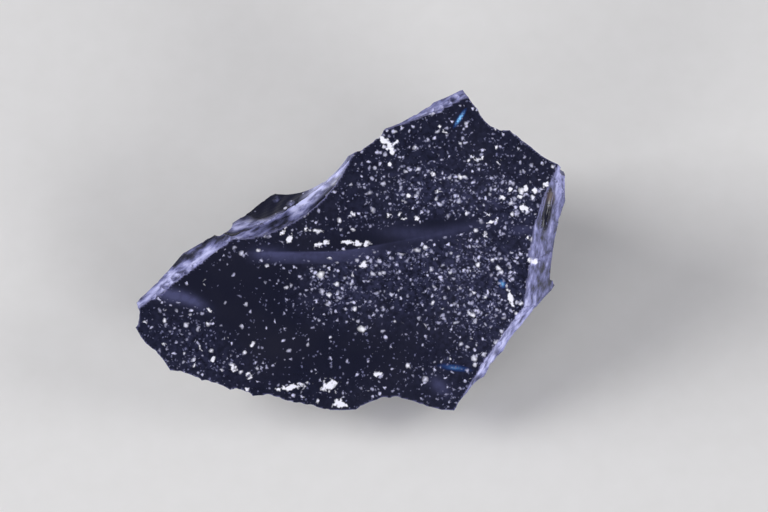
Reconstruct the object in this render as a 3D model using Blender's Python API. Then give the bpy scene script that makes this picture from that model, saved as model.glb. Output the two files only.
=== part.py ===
"""Obsidian chunk: one broken lump of black volcanic glass, lying on a flat break with its broad face up.

The lump starts as a plain block. Every other surface is a fracture: a bowl shaped cut that takes one
flake off, as a blow does on real glass. Neighbouring bowls meet in sharp ridges.

Most fractures are given in the frame of the broad face: across is +X, up is up the slope of the face,
and out is square to the face. Lengths are millimetres there. The finished mesh is in metres, +Z up.
"""

import math
from collections import namedtuple

import bmesh
import bpy
from mathutils import Matrix, Vector

MM = 0.001

# The broad face leans back this much from level. Its frame starts in its middle, above the resting face.
FACE_SLOPE = math.radians(30)
FACE_MIDDLE = Vector((0.0, -2.0, 16.3))

# The broad face is a very shallow bowl of this radius, deepest in the middle, this far under its frame.
FACE_RADIUS = 350.0
FACE_SINK = 0.25

# The rough block that the fractures cut, in millimetres: width, depth and height, and its middle.
BLOCK_SIZE = (76.0, 66.0, 40.0)
BLOCK_MIDDLE = (0.0, 2.0, 20.0)

# How far the two fractures of the broad face run, sideways, down and up the face, and out to their backs.
FACE_SIDE = 44.0
FACE_LOW = -44.0
FACE_HIGH = 52.0
FACE_REACH = 60.0

# The bowl of a fracture is round up to this share of its radius, and level past it.
SHOULDER = 0.95

# Mesh spacing on the walls and the broad face, on a wall flake, on a bevel and on a small rim fracture.
BROAD_STEP = 3.2
FLAKE_STEP = 1.7
BEVEL_STEP = 1.4
RIM_STEP = 1.1

# Glass colour of the chunk, linear.
GLASS_COLOUR = (0.012, 0.012, 0.020, 1.0)
GLASS_ROUGHNESS = 0.16
SHARP_ANGLE = math.radians(28)
WELD_DISTANCE = 0.02

# How far the cutter of a rim fracture runs: above the face, past the two ends of its line and down the
# wall at most. clear: how far its hollow may rise past them before it stops. reach: where its back is.
Extent = namedtuple("Extent", "above aside down clear reach")

WALL_EXTENT = Extent(8.0, 60.0, 50.0, 40.0, 90.0)
BEVEL_EXTENT = Extent(4.0, 20.0, 8.0, 3.0, 20.0)
RIM_EXTENT = Extent(3.0, 6.0, 30.0, 1.2, 12.0)

# A fracture along the rim of the broad face, from start to end (across, up), clockwise.
# bite: how far its hollow goes in past the straight line from start to end.
# lean: how many degrees the broken wall turns away under the rim; a negative one makes an open bevel.
# level: how far below the face the rim line runs. curl: radius of the hollow down the wall, or 0 for a
# ball. drop: how far down the wall the hollow is deepest.
Rim = namedtuple("Rim", "name start end bite lean level curl drop", defaults=(0.0, 0.0, 0.0))

WALLS = (
    Rim("wall_tip_back", (-34.0, -9.7), (-26.7, -0.9), 0.1, 20, 1.2, 60.0, 6.0),
    Rim("wall_left_back", (-28.0, -1.6), (-18.4, 5.0), 0.1, 8, 1.5, 60.0, 8.0),
    Rim("wall_lens", (-20.9, 3.6), (-11.2, 10.4), 0.1, 18, 6.0, 60.0, 8.0),
    Rim("wall_back", (-13.4, 10.4), (17.8, 25.5), 0.15, 18, 1.0, 120.0, 14.0),
    Rim("wall_back_right", (16.8, 25.6), (33.4, 12.8), 0.2, 24, 0.0, 80.0, 10.0),
    Rim("wall_right", (33.4, 13.6), (31.9, -7.4), 0.2, 18, 3.6, 70.0, 8.0),
    Rim("wall_lower_right", (33.5, -5.2), (15.9, -25.3), 0.2, 22, 1.0, 70.0, 7.0),
    Rim("wall_front", (17.6, -24.2), (-5.0, -24.4), 0.1, 24, 0.0, 40.0, 2.0),
    Rim("wall_front_left", (-1.4, -25.0), (-15.6, -22.4), 0.15, 20, 0.0, 40.0, 3.0),
    Rim("wall_left_front", (-14.0, -22.8), (-28.4, -18.4), 0.15, 26, 0.0, 40.0, 4.0),
    Rim("wall_left", (-26.6, -20.2), (-34.0, -10.0), 0.1, 28, 0.0, 50.0, 5.0),
)

RIMS = (
    Rim("strip_tip", (-32.8, -8.3), (-28.4, -3.5), 0.1, 18, 1.0),
    Rim("strip_step", (-28.6, -3.8), (-25.8, -0.4), 0.1, 14, 1.2),
    Rim("strip_upper", (-26.0, -0.7), (-20.3, 2.7), 0.1, 8, 1.5),
    Rim("strip_notch", (-20.2, 2.3), (-18.0, 4.0), 0.6, 6, 2.0, 24.0, 3.0),
    Rim("lens_left", (-18.6, 3.8), (-15.3, 5.9), 0.2, 18, 4.9),
    Rim("lens_middle", (-15.8, 5.5), (-12.3, 8.85), 0.1, 18, 5.3),
    Rim("lens_top", (-12.5, 8.7), (-9.0, 9.5), 0.1, 18, 5.6),
    Rim("neck", (-9.2, 9.2), (0.7, 15.4), 1.7, 9, 2.0, 40.0, 8.0),
    Rim("neck_notch", (0.55, 15.2), (2.1, 15.4), 0.35, 10),
    Rim("crest_low", (1.8, 15.3), (5.3, 18.3), 0.25, 14),
    Rim("crest_middle", (5.2, 18.3), (9.5, 20.3), 0.25, 14, 0.6),
    Rim("crest_high", (9.3, 20.2), (13.2, 22.95), 0.18, 14, 0.8),
    Rim("crest_peak", (13.1, 22.7), (17.3, 24.6), 0.1, 14, 0.8),
    Rim("peak_side", (17.3, 24.7), (19.9, 20.8), 0.4, 22),
    Rim("peak_foot", (19.5, 20.8), (24.4, 18.1), 0.85, 24),
    Rim("shoulder_high", (24.3, 18.2), (28.0, 15.1), 0.15, 22),
    Rim("shoulder_low", (27.6, 15.4), (32.5, 12.5), 0.3, 22),
    Rim("corner_notch", (32.2, 12.5), (32.3, 11.4), 0.5, 0, 1.4),
    Rim("right_high", (32.4, 12.4), (32.7, 8.1), 0.05, 10, 2.4),
    Rim("right_middle", (32.9, 8.5), (31.0, 1.5), 0.15, 12, 3.6),
    Rim("right_low", (31.2, 1.8), (31.4, -6.0), 0.45, 12, 3.4),
    Rim("lower_right_high", (32.1, -5.5), (25.6, -12.1), 0.5, 14, 2.0),
    Rim("lower_right_middle", (25.8, -11.8), (23.2, -15.9), 0.3, 14, 1.2),
    Rim("lower_right_low", (23.4, -15.4), (20.4, -19.6), 0.4, 14, 1.0),
    Rim("lower_right_foot", (20.4, -19.3), (17.4, -22.0), 0.4, 14, 0.6),
    Rim("lower_right_end", (17.7, -21.6), (15.8, -24.1), 0.3, 14, 0.4),
    Rim("front_hollow", (12.4, -24.3), (0.7, -24.3), 1.75, 26),
    Rim("front_hollow_side", (14.9, -24.5), (11.4, -23.6), 0.1, 26),
    Rim("front_lip", (-2.5, -24.5), (-9.5, -22.9), 0.2, 26),
    Rim("front_notch", (-9.0, -23.1), (-15.0, -22.1), 0.5, 26),
    Rim("front_nick", (-14.8, -22.3), (-18.4, -21.2), 0.6, 26),
    Rim("front_left", (-18.0, -21.2), (-22.6, -19.7), 0.3, 24),
    Rim("front_left_low", (-22.4, -19.8), (-27.4, -18.1), 0.35, 24),
    Rim("left_low", (-27.1, -18.3), (-30.9, -14.0), 0.3, 26),
    Rim("left_high", (-30.9, -14.5), (-32.6, -11.2), 0.05, 26),
    Rim("left_nick", (-32.4, -11.7), (-32.4, -8.3), 0.55, 20, 0.0, 16.0, 1.0),
)

BEVELS = (
    Rim("strip_bevel", (-31.4, -7.9), (-17.6, 1.2), 0.12, -45, 0.0, 14.0, 1.0),
    Rim("neck_bevel", (-16.3, 1.9), (0.9, 15.3), 2.5, -55, 0.0, 30.0, 2.0),
    Rim("lens_bevel", (-18.8, 3.2), (-3.1, 11.1), 1.45, -42, 2.0, 30.0, 3.0),
    Rim("right_bevel", (31.5, 12.6), (27.1, -1.4), 0.3, -45, 0.0, 30.0, 2.0),
    Rim("right_bevel_low", (27.4, 1.0), (27.8, -7.2), 0.25, -48, 0.0, 30.0, 2.0),
    Rim("lower_right_bevel", (28.4, -6.0), (15.9, -24.2), 0.6, -35, 0.0, 20.0, 1.0),
    Rim("crest_bevel", (4.8, 17.4), (17.6, 23.75), 0.25, -50, 0.0, 20.0, 1.0),
    Rim("right_slot", (31.0, 8.4), (29.9, 2.8), 0.4, -80, 1.7, 1.1),
)

# A flake broken off a wall, under the rim. along and below: how far its deepest point is from the start
# of the wall's rim line and down the wall. radius: of its bowl. bite: how far it goes into the wall.
# ripple: the height of the ripples on it.
Flake = namedtuple("Flake", "name wall along below radius bite ripple", defaults=(0.0,))

FLAKES = (
    Flake("back_left_flake", "wall_back", 9.5, 13.0, 22.0, 2.4, 0.06),
    Flake("back_flake", "wall_back", 24.0, 15.5, 30.0, 3.4, 0.10),
    Flake("back_low_flake", "wall_back", 16.5, 26.0, 16.0, 3.0),
    Flake("back_corner_flake", "wall_back", 35.0, 21.0, 24.0, 3.4, 0.06),
    Flake("lens_corner_flake", "wall_back", 1.0, 20.0, 18.0, 3.0),
    Flake("back_right_flake", "wall_back_right", 10.5, 9.5, 26.0, 2.0, 0.06),
    Flake("back_right_low_flake", "wall_back_right", 15.0, 22.0, 18.0, 2.8),
    Flake("right_flake", "wall_right", 2.0, 10.0, 18.0, 2.2),
    Flake("right_low_flake", "wall_right", 15.5, 10.5, 18.0, 2.2, 0.05),
    Flake("lower_right_flake", "wall_lower_right", 8.5, 8.5, 17.0, 2.0, 0.05),
    Flake("lower_right_low_flake", "wall_lower_right", 18.0, 6.5, 12.0, 1.5),
    Flake("front_flake", "wall_front_left", 7.0, 6.5, 12.0, 1.6),
    Flake("left_front_flake", "wall_left_front", 9.0, 7.5, 12.0, 1.7),
    Flake("left_flake", "wall_left", 5.0, 9.0, 12.0, 1.9),
    Flake("tip_back_flake", "wall_tip_back", 4.0, 10.0, 15.0, 2.0),
    Flake("left_back_flake", "wall_left_back", 6.0, 12.0, 20.0, 2.6, 0.05),
    Flake("lens_flake", "wall_lens", 6.0, 8.0, 18.0, 1.6),
)

# On a wall flake: the distance from one ripple to the next, and how far its bowl rises past the wall.
RIPPLE_LENGTH = 4.4
FLAKE_CLEAR = 1.6

# The low step across the broad face: the part above it is sunk behind a curved riser.
# Its foot runs level at RISER_LEVEL, bends at RISER_BEND and then climbs RISER_RISE for each millimetre.
RISER_LEVEL = -0.5
RISER_BEND = -1.2
RISER_BEND_LENGTH = 2.0
RISER_RISE = 0.194
RISER_WIDTH = 1.7

# It starts at nothing at RISER_START and is RISER_DEPTH deep at RISER_FULL. RISER_FADE on, it has lost
# the share RISER_LOSS of that.
# Behind its foot the sunk face rises again, and meets the first one after RISER_RECOVERY.
RISER_START = -16.0
RISER_FULL = 4.0
RISER_DEPTH = 0.9
RISER_FADE = 22.0
RISER_LOSS = 0.85
RISER_RECOVERY = 34.0

# How steeply the riser starts, as a share of its mean slope, how high its cutter clears the face, and
# how much it lifts for each millimetre past the left end.
RISER_START_SLOPE = 0.2
RISER_CLEAR_SLOPE = 0.6
RISER_CLEAR = 1.0
RISER_LIFT = 0.1


def face_frame():
    """The frame of the broad face: columns across, up and out, origin in the middle of the face."""
    across = Vector((1.0, 0.0, 0.0))
    up = Vector((0.0, math.cos(FACE_SLOPE), math.sin(FACE_SLOPE)))
    out = across.cross(up)
    frame = Matrix((across, up, out)).transposed().to_4x4()
    frame.translation = FACE_MIDDLE
    return frame


def frame_from(origin, across, outward):
    """A frame at origin with its z axis outward and its x axis as near to across as it can be."""
    outward = outward.normalized()
    side = (across - outward * across.dot(outward)).normalized()
    frame = Matrix((side, outward.cross(side), outward)).transposed().to_4x4()
    frame.translation = origin
    return frame


def arc(distance, radius):
    """How far a circle has risen at this distance from its lowest point. Past its shoulder it is level."""
    reach = min(abs(distance), SHOULDER * radius)
    return radius - math.sqrt(radius * radius - reach * reach)


def arc_width(rise, radius):
    """How far from its lowest point a circle has risen this much, or its shoulder if that comes first."""
    left = max(radius - rise, 0.0)
    return min(math.sqrt(radius * radius - left * left), SHOULDER * radius)


def spaced(start, end, step):
    """Even positions from start to end, no further apart than step."""
    cells = max(3, math.ceil((end - start) / step))
    return [start + (end - start) * cell / cells for cell in range(cells + 1)]


def cutter(name, place, columns, rows, shape, reach):
    """A closed solid that is the space outside a fracture: a curved sheet drawn out to a flat back.

    shape turns a column and a row into a point of the sheet, in the frame place.
    """
    mesh = bmesh.new()
    last_column = len(columns) - 1
    last_row = len(rows) - 1
    bmesh.ops.create_grid(mesh, x_segments=last_column, y_segments=last_row, size=1.0)
    for vertex in mesh.verts:
        column = columns[round((vertex.co.x + 1.0) / 2.0 * last_column)]
        row = rows[round((vertex.co.y + 1.0) / 2.0 * last_row)]
        vertex.co = shape(column, row)
    grown = bmesh.ops.extrude_face_region(mesh, geom=mesh.faces[:])
    for part in grown["geom"]:
        if isinstance(part, bmesh.types.BMVert):
            part.co.z = reach
    bmesh.ops.recalc_face_normals(mesh, faces=mesh.faces[:])
    data = bpy.data.meshes.new(name)
    mesh.to_mesh(data)
    mesh.free()
    data.transform(place)
    cut = bpy.data.objects.new(name, data)
    cut.hide_render = True
    cut.display_type = "WIRE"
    bpy.context.scene.collection.objects.link(cut)
    return cut


def take_off(block, cut):
    """Cuts the block with an exact Boolean and removes the cutter."""
    modifier = block.modifiers.new(cut.name, "BOOLEAN")
    modifier.operation = "DIFFERENCE"
    modifier.solver = "EXACT"
    modifier.object = cut
    bpy.context.view_layer.objects.active = block
    bpy.ops.object.modifier_apply(modifier=modifier.name)
    bpy.data.objects.remove(cut)


def riser_foot(across):
    """How far up the face the foot of the riser runs, for a place across it."""
    past = across - RISER_BEND
    return RISER_LEVEL + RISER_RISE * (past + math.hypot(past, RISER_BEND_LENGTH)) / 2


def riser_depth(across):
    """How deep the step is: nothing at its left end, full near the middle, little at the right."""
    growth = (across - RISER_START) / (RISER_FULL - RISER_START)
    if growth < 1.0:
        return RISER_DEPTH * math.sin(growth * math.pi / 2)
    return RISER_DEPTH * (1.0 - RISER_LOSS * min(1.0, (across - RISER_FULL) / RISER_FADE))


def lower_face(across, up):
    """The broad face as the first blow left it: very slightly hollow."""
    return (across * across + up * up) / (2 * FACE_RADIUS) - FACE_SINK


def upper_face(across, up):
    """The second fracture, sunk behind the riser. Left of the riser it stays above the first.

    Going up the face it leaves the first one softly, drops ever more steeply and ends in a crisp foot.
    """
    if across < RISER_START:
        return lower_face(across, up) + min(RISER_CLEAR, RISER_LIFT * (RISER_START - across))
    past = up - riser_foot(across)
    fall = 1.0 + past / RISER_WIDTH
    if fall < 0:
        profile = RISER_CLEAR_SLOPE * fall
    elif past < 0:
        profile = RISER_START_SLOPE * fall + (1.0 - RISER_START_SLOPE) * fall * fall
    else:
        profile = 1.0 - past / RISER_RECOVERY
    return lower_face(across, up) - riser_depth(across) * profile


def on_face(place, level):
    """The point this far under the broad face, for a place (across, up) on it."""
    height = min(lower_face(*place), upper_face(*place))
    return Vector((*place, height - level))


def rim_place(face, rim):
    """The frame of one rim fracture, in the middle of its rim line, and half the length of that line."""
    start = on_face(rim.start, rim.level)
    end = on_face(rim.end, rim.level)
    along = (end - start).normalized()
    outward = Vector((-along.y, along.x, -math.tan(math.radians(rim.lean))))
    return face @ frame_from((start + end) / 2, along, outward), (end - start).length / 2


def rim_cutter(face, rim, extent, step):
    """The cutter of one rim fracture: a hollow sheet through both end points of its rim line."""
    place, half = rim_place(face, rim)
    radius = (half * half + rim.bite * rim.bite) / (2 * rim.bite)
    curl = rim.curl or radius
    base = arc(half, radius) + arc(rim.drop, curl)
    wide = min(half + extent.aside, arc_width(base + extent.clear, radius))
    run = arc_width(base + extent.clear, curl)
    deep = min(extent.down, rim.drop + run)
    above = min((extent.above + rim.level) / math.cos(math.radians(rim.lean)), run - rim.drop)

    def shape(x, y):
        return (x, y, arc(x, radius) + arc(y - rim.drop, curl) - base)

    return cutter(rim.name, place, spaced(-wide, wide, step), spaced(-above, deep, step), shape, extent.reach)


def flake_cutter(face, flake, step):
    """The cutter of one wall flake: a round bowl, with ripples spreading from the blow at its upper edge."""
    wall = next(rim for rim in WALLS if rim.name == flake.wall)
    place, middle = rim_place(face, wall)
    place = place @ Matrix.Translation((flake.along - middle, flake.below, -flake.bite))
    half = arc_width(flake.bite + FLAKE_CLEAR, flake.radius)
    places = spaced(-half, half, step)

    def shape(x, y):
        blow = math.hypot(x, y + half)
        ripple = flake.ripple * math.sin(math.tau * blow / RIPPLE_LENGTH)
        return (x, y, arc(math.hypot(x, y), flake.radius) + ripple)

    return cutter(flake.name, place, places, places, shape, flake.radius)


def cut_faces(block, face):
    """Breaks off the top of the block along the broad face, then sinks its upper half."""
    columns = spaced(-FACE_SIDE, FACE_SIDE, BROAD_STEP)
    rows = spaced(FACE_LOW, FACE_HIGH, BROAD_STEP)
    riser_rows = [RISER_WIDTH * place for place in (-2.0, -1.0, -0.75, -0.5, -0.25, 0.0)]
    upper_rows = [FACE_LOW, *riser_rows, *spaced(RISER_WIDTH, FACE_HIGH, BROAD_STEP)]

    def lower(across, up):
        return (across, up, lower_face(across, up))

    def upper(across, past):
        up = past + riser_foot(across)
        return (across, up, upper_face(across, up))

    take_off(block, cutter("lower_face", face, columns, rows, lower, FACE_REACH))
    take_off(block, cutter("upper_face", face, columns, upper_rows, upper, FACE_REACH))


def island(first):
    """All points that are joined to this one by edges."""
    found = {first}
    waiting = [first]
    while waiting:
        for edge in waiting.pop().link_edges:
            for vertex in edge.verts:
                if vertex not in found:
                    found.add(vertex)
                    waiting.append(vertex)
    return found


def clean_up(block):
    """Drops the flakes that came loose, welds points closer than a hair and cuts faces to triangles."""
    mesh = bmesh.new()
    mesh.from_mesh(block.data)
    rest = set(mesh.verts)
    islands = []
    while rest:
        islands.append(island(next(iter(rest))))
        rest -= islands[-1]
    chunk = max(islands, key=len)
    flakes = [vertex for vertex in mesh.verts if vertex not in chunk]
    bmesh.ops.delete(mesh, geom=flakes, context="VERTS")
    bmesh.ops.remove_doubles(mesh, verts=mesh.verts[:], dist=WELD_DISTANCE)
    bmesh.ops.dissolve_degenerate(mesh, edges=mesh.edges[:], dist=WELD_DISTANCE)
    bmesh.ops.triangulate(mesh, faces=mesh.faces[:])
    mesh.to_mesh(block.data)
    mesh.free()


def glass():
    """Black volcanic glass, broken and a little dusty."""
    material = bpy.data.materials.new("black_volcanic_glass")
    material.use_nodes = True
    shader = material.node_tree.nodes["Principled BSDF"]
    shader.inputs["Base Color"].default_value = GLASS_COLOUR
    shader.inputs["Roughness"].default_value = GLASS_ROUGHNESS
    shader.inputs["Metallic"].default_value = 0.0
    material.diffuse_color = GLASS_COLOUR
    return material


def rough_block():
    """The block before the first blow, standing on its resting face at z = 0."""
    bpy.ops.mesh.primitive_cube_add(size=1.0, location=BLOCK_MIDDLE)
    block = bpy.context.object
    block.name = "obsidian_chunk"
    block.data.name = "obsidian_chunk"
    block.scale = BLOCK_SIZE
    bpy.ops.object.transform_apply(location=True, rotation=True, scale=True)
    return block


def make_chunk():
    """The whole lump: the block, its broad face, its walls, the flakes off them, and the broken rim."""
    for old in list(bpy.data.objects):
        bpy.data.objects.remove(old)
    face = face_frame()
    block = rough_block()
    cut_faces(block, face)
    for wall in WALLS:
        take_off(block, rim_cutter(face, wall, WALL_EXTENT, BROAD_STEP))
    for flake in FLAKES:
        take_off(block, flake_cutter(face, flake, FLAKE_STEP))
    for bevel in BEVELS:
        take_off(block, rim_cutter(face, bevel, BEVEL_EXTENT, BEVEL_STEP))
    for rim in RIMS:
        take_off(block, rim_cutter(face, rim, RIM_EXTENT, RIM_STEP))
    clean_up(block)
    block.data.transform(Matrix.Scale(MM, 4))
    block.data.shade_smooth()
    block.data.set_sharp_from_angle(angle=SHARP_ANGLE)
    block.data.materials.clear()
    block.data.materials.append(glass())
    return block


if __name__ == "__main__":
    make_chunk()
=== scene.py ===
import math
from collections import namedtuple

import bpy
import numpy as np
from bpy.props import FloatProperty, FloatVectorProperty, IntProperty, PointerProperty
from mathutils import Matrix, Vector


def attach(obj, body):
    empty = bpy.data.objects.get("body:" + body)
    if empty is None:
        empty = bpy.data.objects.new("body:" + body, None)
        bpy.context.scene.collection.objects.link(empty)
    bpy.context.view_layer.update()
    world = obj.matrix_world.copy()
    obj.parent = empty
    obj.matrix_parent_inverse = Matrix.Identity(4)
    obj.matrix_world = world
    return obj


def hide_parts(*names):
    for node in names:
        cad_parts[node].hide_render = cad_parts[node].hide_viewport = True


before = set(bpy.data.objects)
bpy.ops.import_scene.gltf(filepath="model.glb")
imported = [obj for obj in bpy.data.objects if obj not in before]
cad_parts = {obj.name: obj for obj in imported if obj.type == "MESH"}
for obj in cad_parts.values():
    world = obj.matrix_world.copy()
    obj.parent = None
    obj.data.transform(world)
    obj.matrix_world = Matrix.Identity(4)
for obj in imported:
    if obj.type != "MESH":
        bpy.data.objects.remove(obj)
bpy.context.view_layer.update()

# Obsidian chunk: one broken lump of black volcanic glass.
#
# The lump is broken out of a plain block again, fracture by fracture, but with a fine mesh, so that the
# ripples on the breaks and the small chips on the rim are real shapes. The finish of the glass then
# follows each fracture: smooth on the large breaks, frosted on the crushed bevels, dusty on the face.
#
# Most places are given in the frame of the broad face, in millimetres: across is +X, up is up its slope,
# and out is square to it. The finished mesh is in metres, +Z up.

bl_info = {
    "name": "Obsidian chunk",
    "version": (1, 0, 0),
    "blender": (4, 5, 0),
    "location": "3D View > Sidebar > Obsidian",
    "description": "Breaks a lump of volcanic glass out of a block, finishes it and sets it on a stage",
    "category": "Object",
}

MM = 0.001

# The broad face: its slope, the middle of its frame, and the very shallow bowl that it is.
FACE_SLOPE = math.radians(30)
FACE_MIDDLE = Vector((0.0, -2.0, 16.3))
FACE_RADIUS = 350.0
FACE_SINK = 0.25

# The block before the first blow, and how far the two fractures of the broad face run.
BLOCK_SIZE = (76.0, 66.0, 40.0)
BLOCK_MIDDLE = (0.0, 2.0, 20.0)
FACE_SIDE = 44.0
FACE_LOW = -44.0
FACE_HIGH = 52.0
FACE_REACH = 60.0

# The part of the face frame that the lump fills: the mesh of the face is fine inside it.
FINE_SIDE = 33.6
FINE_LOW = -26.0
FINE_HIGH = 26.0

# The bowl of a fracture is round up to this share of its radius, and level past it.
SHOULDER = 0.95

# The blow that made a rim fracture: how far from its middle, as a share of half its length, and how far
# above the rim at most. The first blow that opened the broad face came from the left, a little above the
# middle, and the second one from as far below it.
BLOW_ASIDE = 0.35
BLOW_ABOVE = 2.0
FACE_BLOW = (-40.0, 4.0)

# The finished mesh: its name, how close points are welded, and which edges are smooth.
LUMP_NAME = "broken_glass_lump"
WELD_DISTANCE = 0.004
SMOOTH_ANGLE = math.radians(28)

# The pattern of the finish: how it is drawn out along a crushed bevel and runs round a blow elsewhere, and
# how far apart it starts on two neighbouring fractures.
STREAK_ALONG = 0.45
STREAK_BESIDE = 0.9
RING_TURN = 6.0
OWNER_STRIDE = 7.3

# How far the cutter of a rim fracture runs: above the face, past the two ends of its line and down the
# wall at most. clear: how far its hollow may rise past them before it stops. reach: where its back is.
Extent = namedtuple("Extent", "above aside down clear reach")

WALL_EXTENT = Extent(8.0, 60.0, 50.0, 40.0, 90.0)
BEVEL_EXTENT = Extent(4.0, 20.0, 8.0, 3.0, 20.0)
RIM_EXTENT = Extent(3.0, 6.0, 30.0, 1.2, 12.0)

# A fracture along the rim of the broad face, from start to end (across, up), clockwise.
# bite: how far its hollow goes in past the straight line from start to end.
# lean: how many degrees the broken wall turns away under the rim; a negative one makes an open bevel.
# level: how far below the face the rim line runs. curl: radius of the hollow down the wall, or 0 for a
# ball. drop: how far down the wall the hollow is deepest.
Rim = namedtuple("Rim", "name start end bite lean level curl drop", defaults=(0.0, 0.0, 0.0))

WALLS = (
    Rim("wall_tip_back", (-34.0, -9.7), (-26.7, -0.9), 0.1, 20, 1.2, 60.0, 6.0),
    Rim("wall_left_back", (-28.0, -1.6), (-18.4, 5.0), 0.1, 8, 1.5, 60.0, 8.0),
    Rim("wall_lens", (-20.9, 3.6), (-11.2, 10.4), 0.1, 18, 6.0, 60.0, 8.0),
    Rim("wall_back", (-13.4, 10.4), (17.8, 25.5), 0.15, 18, 1.0, 120.0, 14.0),
    Rim("wall_back_right", (16.8, 25.6), (33.4, 12.8), 0.2, 24, 0.0, 80.0, 10.0),
    Rim("wall_right", (33.4, 13.6), (31.9, -7.4), 0.2, 18, 3.6, 70.0, 8.0),
    Rim("wall_lower_right", (33.5, -5.2), (15.9, -25.3), 0.2, 22, 1.0, 70.0, 7.0),
    Rim("wall_front", (17.6, -24.2), (-5.0, -24.4), 0.1, 24, 0.0, 40.0, 2.0),
    Rim("wall_front_left", (-1.4, -25.0), (-15.6, -22.4), 0.15, 20, 0.0, 40.0, 3.0),
    Rim("wall_left_front", (-14.0, -22.8), (-28.4, -18.4), 0.15, 26, 0.0, 40.0, 4.0),
    Rim("wall_left", (-26.6, -20.2), (-34.0, -10.0), 0.1, 28, 0.0, 50.0, 5.0),
)

RIMS = (
    Rim("strip_tip", (-32.8, -8.3), (-28.4, -3.5), 0.1, 18, 1.0),
    Rim("strip_step", (-28.6, -3.8), (-25.8, -0.4), 0.1, 14, 1.2),
    Rim("strip_upper", (-26.0, -0.7), (-20.3, 2.7), 0.1, 8, 1.5),
    Rim("strip_notch", (-20.2, 2.3), (-18.0, 4.0), 0.6, 6, 2.0, 24.0, 3.0),
    Rim("lens_left", (-18.6, 3.8), (-15.3, 5.9), 0.2, 18, 4.9),
    Rim("lens_middle", (-15.8, 5.5), (-12.3, 8.85), 0.1, 18, 5.3),
    Rim("lens_top", (-12.5, 8.7), (-9.0, 9.5), 0.1, 18, 5.6),
    Rim("neck", (-9.2, 9.2), (0.7, 15.4), 1.7, 9, 2.0, 40.0, 8.0),
    Rim("neck_notch", (0.55, 15.2), (2.1, 15.4), 0.35, 10),
    Rim("crest_low", (1.8, 15.3), (5.3, 18.3), 0.25, 14),
    Rim("crest_middle", (5.2, 18.3), (9.5, 20.3), 0.25, 14, 0.6),
    Rim("crest_high", (9.3, 20.2), (13.2, 22.95), 0.18, 14, 0.8),
    Rim("crest_peak", (13.1, 22.7), (17.3, 24.6), 0.1, 14, 0.8),
    Rim("peak_side", (17.3, 24.7), (19.9, 20.8), 0.4, 22),
    Rim("peak_foot", (19.5, 20.8), (24.4, 18.1), 0.85, 24),
    Rim("shoulder_high", (24.3, 18.2), (28.0, 15.1), 0.15, 22),
    Rim("shoulder_low", (27.6, 15.4), (32.5, 12.5), 0.3, 22),
    Rim("corner_notch", (32.2, 12.5), (32.3, 11.4), 0.5, 0, 1.4),
    Rim("right_high", (32.4, 12.4), (32.7, 8.1), 0.05, 10, 2.4),
    Rim("right_middle", (32.9, 8.5), (31.0, 1.5), 0.15, 12, 3.6),
    Rim("right_low", (31.2, 1.8), (31.4, -6.0), 0.45, 12, 3.4),
    Rim("lower_right_high", (32.1, -5.5), (25.6, -12.1), 0.5, 14, 2.0),
    Rim("lower_right_middle", (25.8, -11.8), (23.2, -15.9), 0.3, 14, 1.2),
    Rim("lower_right_low", (23.4, -15.4), (20.4, -19.6), 0.4, 14, 1.0),
    Rim("lower_right_foot", (20.4, -19.3), (17.4, -22.0), 0.4, 14, 0.6),
    Rim("lower_right_end", (17.7, -21.6), (15.8, -24.1), 0.3, 14, 0.4),
    Rim("front_hollow", (12.4, -24.3), (0.7, -24.3), 1.75, 26),
    Rim("front_hollow_side", (14.9, -24.5), (11.4, -23.6), 0.1, 26),
    Rim("front_lip", (-2.5, -24.5), (-9.5, -22.9), 0.2, 26),
    Rim("front_notch", (-9.0, -23.1), (-15.0, -22.1), 0.5, 26),
    Rim("front_nick", (-14.8, -22.3), (-18.4, -21.2), 0.6, 26),
    Rim("front_left", (-18.0, -21.2), (-22.6, -19.7), 0.3, 24),
    Rim("front_left_low", (-22.4, -19.8), (-27.4, -18.1), 0.35, 24),
    Rim("left_low", (-27.1, -18.3), (-30.9, -14.0), 0.3, 26),
    Rim("left_high", (-30.9, -14.5), (-32.6, -11.2), 0.05, 26),
    Rim("left_nick", (-32.4, -11.7), (-32.4, -8.3), 0.55, 20, 0.0, 16.0, 1.0),
)

BEVELS = (
    Rim("strip_bevel", (-31.4, -7.9), (-17.6, 1.2), 0.12, -45, 0.0, 14.0, 1.0),
    Rim("neck_bevel", (-16.3, 1.9), (0.9, 15.3), 2.5, -55, 0.0, 30.0, 2.0),
    Rim("lens_bevel", (-18.8, 3.2), (-3.1, 11.1), 1.45, -42, 2.0, 30.0, 3.0),
    Rim("right_bevel", (31.5, 12.6), (27.1, -1.4), 0.3, -45, 0.0, 30.0, 2.0),
    Rim("right_bevel_low", (27.4, 1.0), (27.8, -7.2), 0.25, -48, 0.0, 30.0, 2.0),
    Rim("lower_right_bevel", (28.4, -6.0), (15.9, -24.2), 0.6, -35, 0.0, 20.0, 1.0),
    Rim("crest_bevel", (4.8, 17.4), (17.6, 23.75), 0.25, -50, 0.0, 20.0, 1.0),
    Rim("right_slot", (30.6, 8.3), (29.35, 1.8), 0.6, -80, 1.2, 1.1),
)

# A flake broken off a wall, under the rim. along and below: how far its deepest point is from the start
# of the wall's rim line and down the wall. radius: of its bowl. bite: how far it goes into the wall.
# ripple: the height of the broad ripples on it.
Flake = namedtuple("Flake", "name wall along below radius bite ripple", defaults=(0.0,))

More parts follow.
